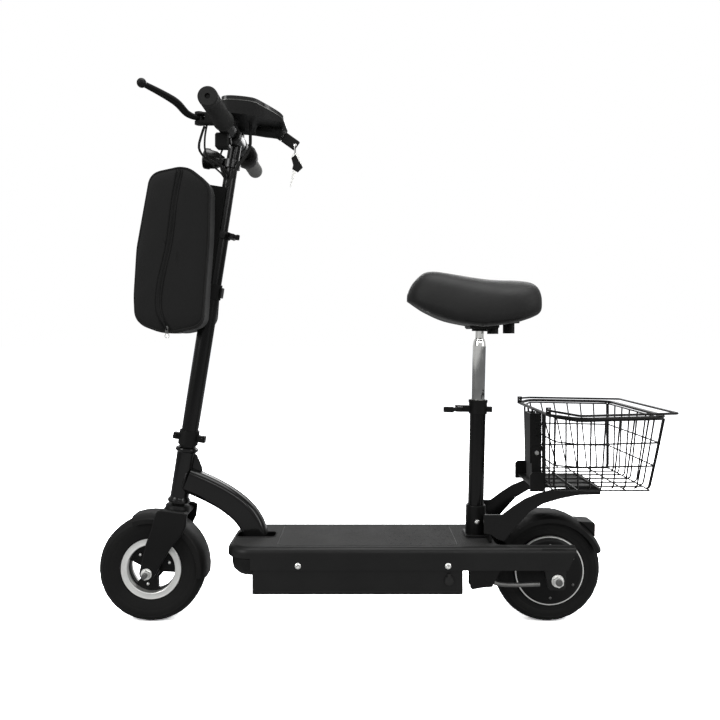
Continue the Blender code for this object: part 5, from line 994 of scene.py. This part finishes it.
def makeLever():
    # flat blade that swells along its middle and ends in a ball
    s = leverSettings
    x, y, z = s["pivot"]
    route = smoothPath([(x - 0.002, y - 0.002, z), (-0.061, y - 0.019, 0.0105), (-0.073, y - 0.043, 0.0215),
                        (-0.088, y - 0.073, 0.026), (-0.1105, y - 0.115, 0.0296)], 7)
    count = len(route) - 1
    radii = [s["blade"] + s["swell"] * sin(pi * i / count) for i in range(count + 1)]
    blade = sweepShape([(route, False, radii)], 1.0, 5)
    hub = latheShape([(0.0032, -0.0046), (0.007, -0.0046), (0.0078, -0.0038), (0.0078, 0.0038), (0.007, 0.0046),
                      (0.0032, 0.0046)], 40, Matrix.Translation((x, y + 0.004, z)), True)
    ball = bmesh.new()
    bmesh.ops.create_uvsphere(ball, u_segments=28, v_segments=18, radius=s["ball"])
    bmesh.ops.translate(ball, vec=route[-1], verts=ball.verts)
    lever = mergeShapes(blade, hub, ball)
    lever.transform(barPlace)
    addPiece("brakeBlade", lever, "brake_lever", "satinPaint", ["brake_lever"], 40)
    # short cables from the switch pod and the lamp to the loom's grommet
    routes = [([(-0.0085, -0.086, -0.0385), (-0.013, -0.083, -0.05), (-0.018, -0.056, -0.06),
                (-0.017, -0.03, -0.066), (-0.015, -0.016, -0.076)], 7),
              ([(-0.032, -0.108, -0.002), (-0.037, -0.102, -0.024), (-0.04, -0.082, -0.044),
                (-0.033, -0.052, -0.06), (-0.022, -0.028, -0.07), (-0.0165, -0.017, -0.08)], 7),
              ([(-0.026, -0.014, -0.052), (-0.024, -0.019, -0.061), (-0.019, -0.019, -0.07),
                (-0.0155, -0.0165, -0.079)], 6)]
    runs = [(smoothPath(points, perSpan), False) for points, perSpan in routes]
    addPiece("switchCables", sweepShape(runs, s["cable"], 3, barPlace), "bars", "rubber")


makeDetails()
makeConsole()
makeLever()
print("small parts made")


# Floor, light and camera

stageSettings = {"floorSize": 30.0, "floorGrey": 0.48, "floorSeen": 2.85, "floorGlow": 0.15, "softLight": 0.32,
                 "shinyLight": 0.58}


def makeFloor():
    s = stageSettings
    floor = bmesh.new()
    bmesh.ops.create_grid(floor, x_segments=2, y_segments=2, size=s["floorSize"])
    ground = meshObject("floor", floor)
    mat = bpy.data.materials.new("floorWhite")
    mat.use_nodes = True
    tree = mat.node_tree
    tree.nodes.clear()
    plain, seen = [addNode(tree, "BsdfDiffuse", {"Color": (s[tone], s[tone], s[tone], 1)}).outputs["BSDF"]
                   for tone in ("floorGrey", "floorSeen")]
    glow = addNode(tree, "Emission", {"Strength": s["floorGlow"]}).outputs["Emission"]
    both = addNode(tree, "AddShader", {0: seen, 1: glow}).outputs["Shader"]
    path = addNode(tree, "LightPath").outputs
    choose = addNode(tree, "MixShader", {"Fac": path["Is Camera Ray"], 1: plain, 2: both})
    addNode(tree, "OutputMaterial", {"Surface": choose.outputs["Shader"]})
    ground.data.materials.append(mat)


def makeWorld():
    # white behind the object and in glass, a little less in polished faces, soft and dim as light
    world = bpy.data.worlds.new("studio")
    bpy.context.scene.world = world
    world.use_nodes = True
    tree = world.node_tree
    tree.nodes.clear()
    path = addNode(tree, "LightPath").outputs
    soft, shiny, white = [
        addNode(tree, "Background", {"Color": (*colour, 1), "Strength": strength}).outputs["Background"]
        for colour, strength in (((0.95, 0.97, 1.0), stageSettings["softLight"]),
                                 ((1, 1, 1), stageSettings["shinyLight"]), ((1, 1, 1), 1.0))]
    either = mathNode(tree, "MAXIMUM", path["Is Camera Ray"], path["Is Transmission Ray"])
    polished = addNode(tree, "MixShader", {"Fac": path["Is Glossy Ray"], 1: soft, 2: shiny})
    choose = addNode(tree, "MixShader", {"Fac": either, 1: polished.outputs["Shader"], 2: white})
    addNode(tree, "OutputWorld", {"Surface": choose.outputs["Shader"]})


lampTable = {
    # place, aim, size, power
    "overhead": ((0.1, -0.3, 3.0), (0, 0, 0.4), (2.6, 1.6), 70),
    "leftFront": ((-2.4, -2.2, 1.8), (0, 0, 0.5), (1.4, 1.8), 45),
    "rightFront": ((2.6, -1.6, 1.5), (0.1, 0, 0.5), (1.0, 1.8), 30),
    "behind": ((0.4, 2.6, 1.8), (0, 0, 0.5), (2.2, 1.4), 30),
    "deckStrip": ((0.45, -1.9, 1.35), (0.15, 0, 0.2), (1.3, 0.25), 7),
}


def makeLamps():
    for name, (place, aim, size, power) in lampTable.items():
        lamp = bpy.data.lights.new(name, "AREA")
        lamp.shape = "RECTANGLE"
        lamp.size, lamp.size_y = size
        lamp.energy = power
        holder = linkObject(name, lamp)
        holder.location = place
        holder.rotation_euler = (Vector(aim) - Vector(place)).to_track_quat("-Z", "Y").to_euler()


makeFloor()
makeWorld()
makeLamps()

lens = bpy.data.cameras.new("camera")
lens.lens = 35.25
lens.sensor_width = 36.0
lens.shift_y = -0.0347
lens.clip_end = 100.0
camera = linkObject("camera", lens)
camera.location = (-0.0275, -1.35, 0.542)
camera.rotation_euler = (radians(90), 0, 0)
bpy.context.scene.camera = camera
bpy.context.scene.view_settings.view_transform = "Standard"
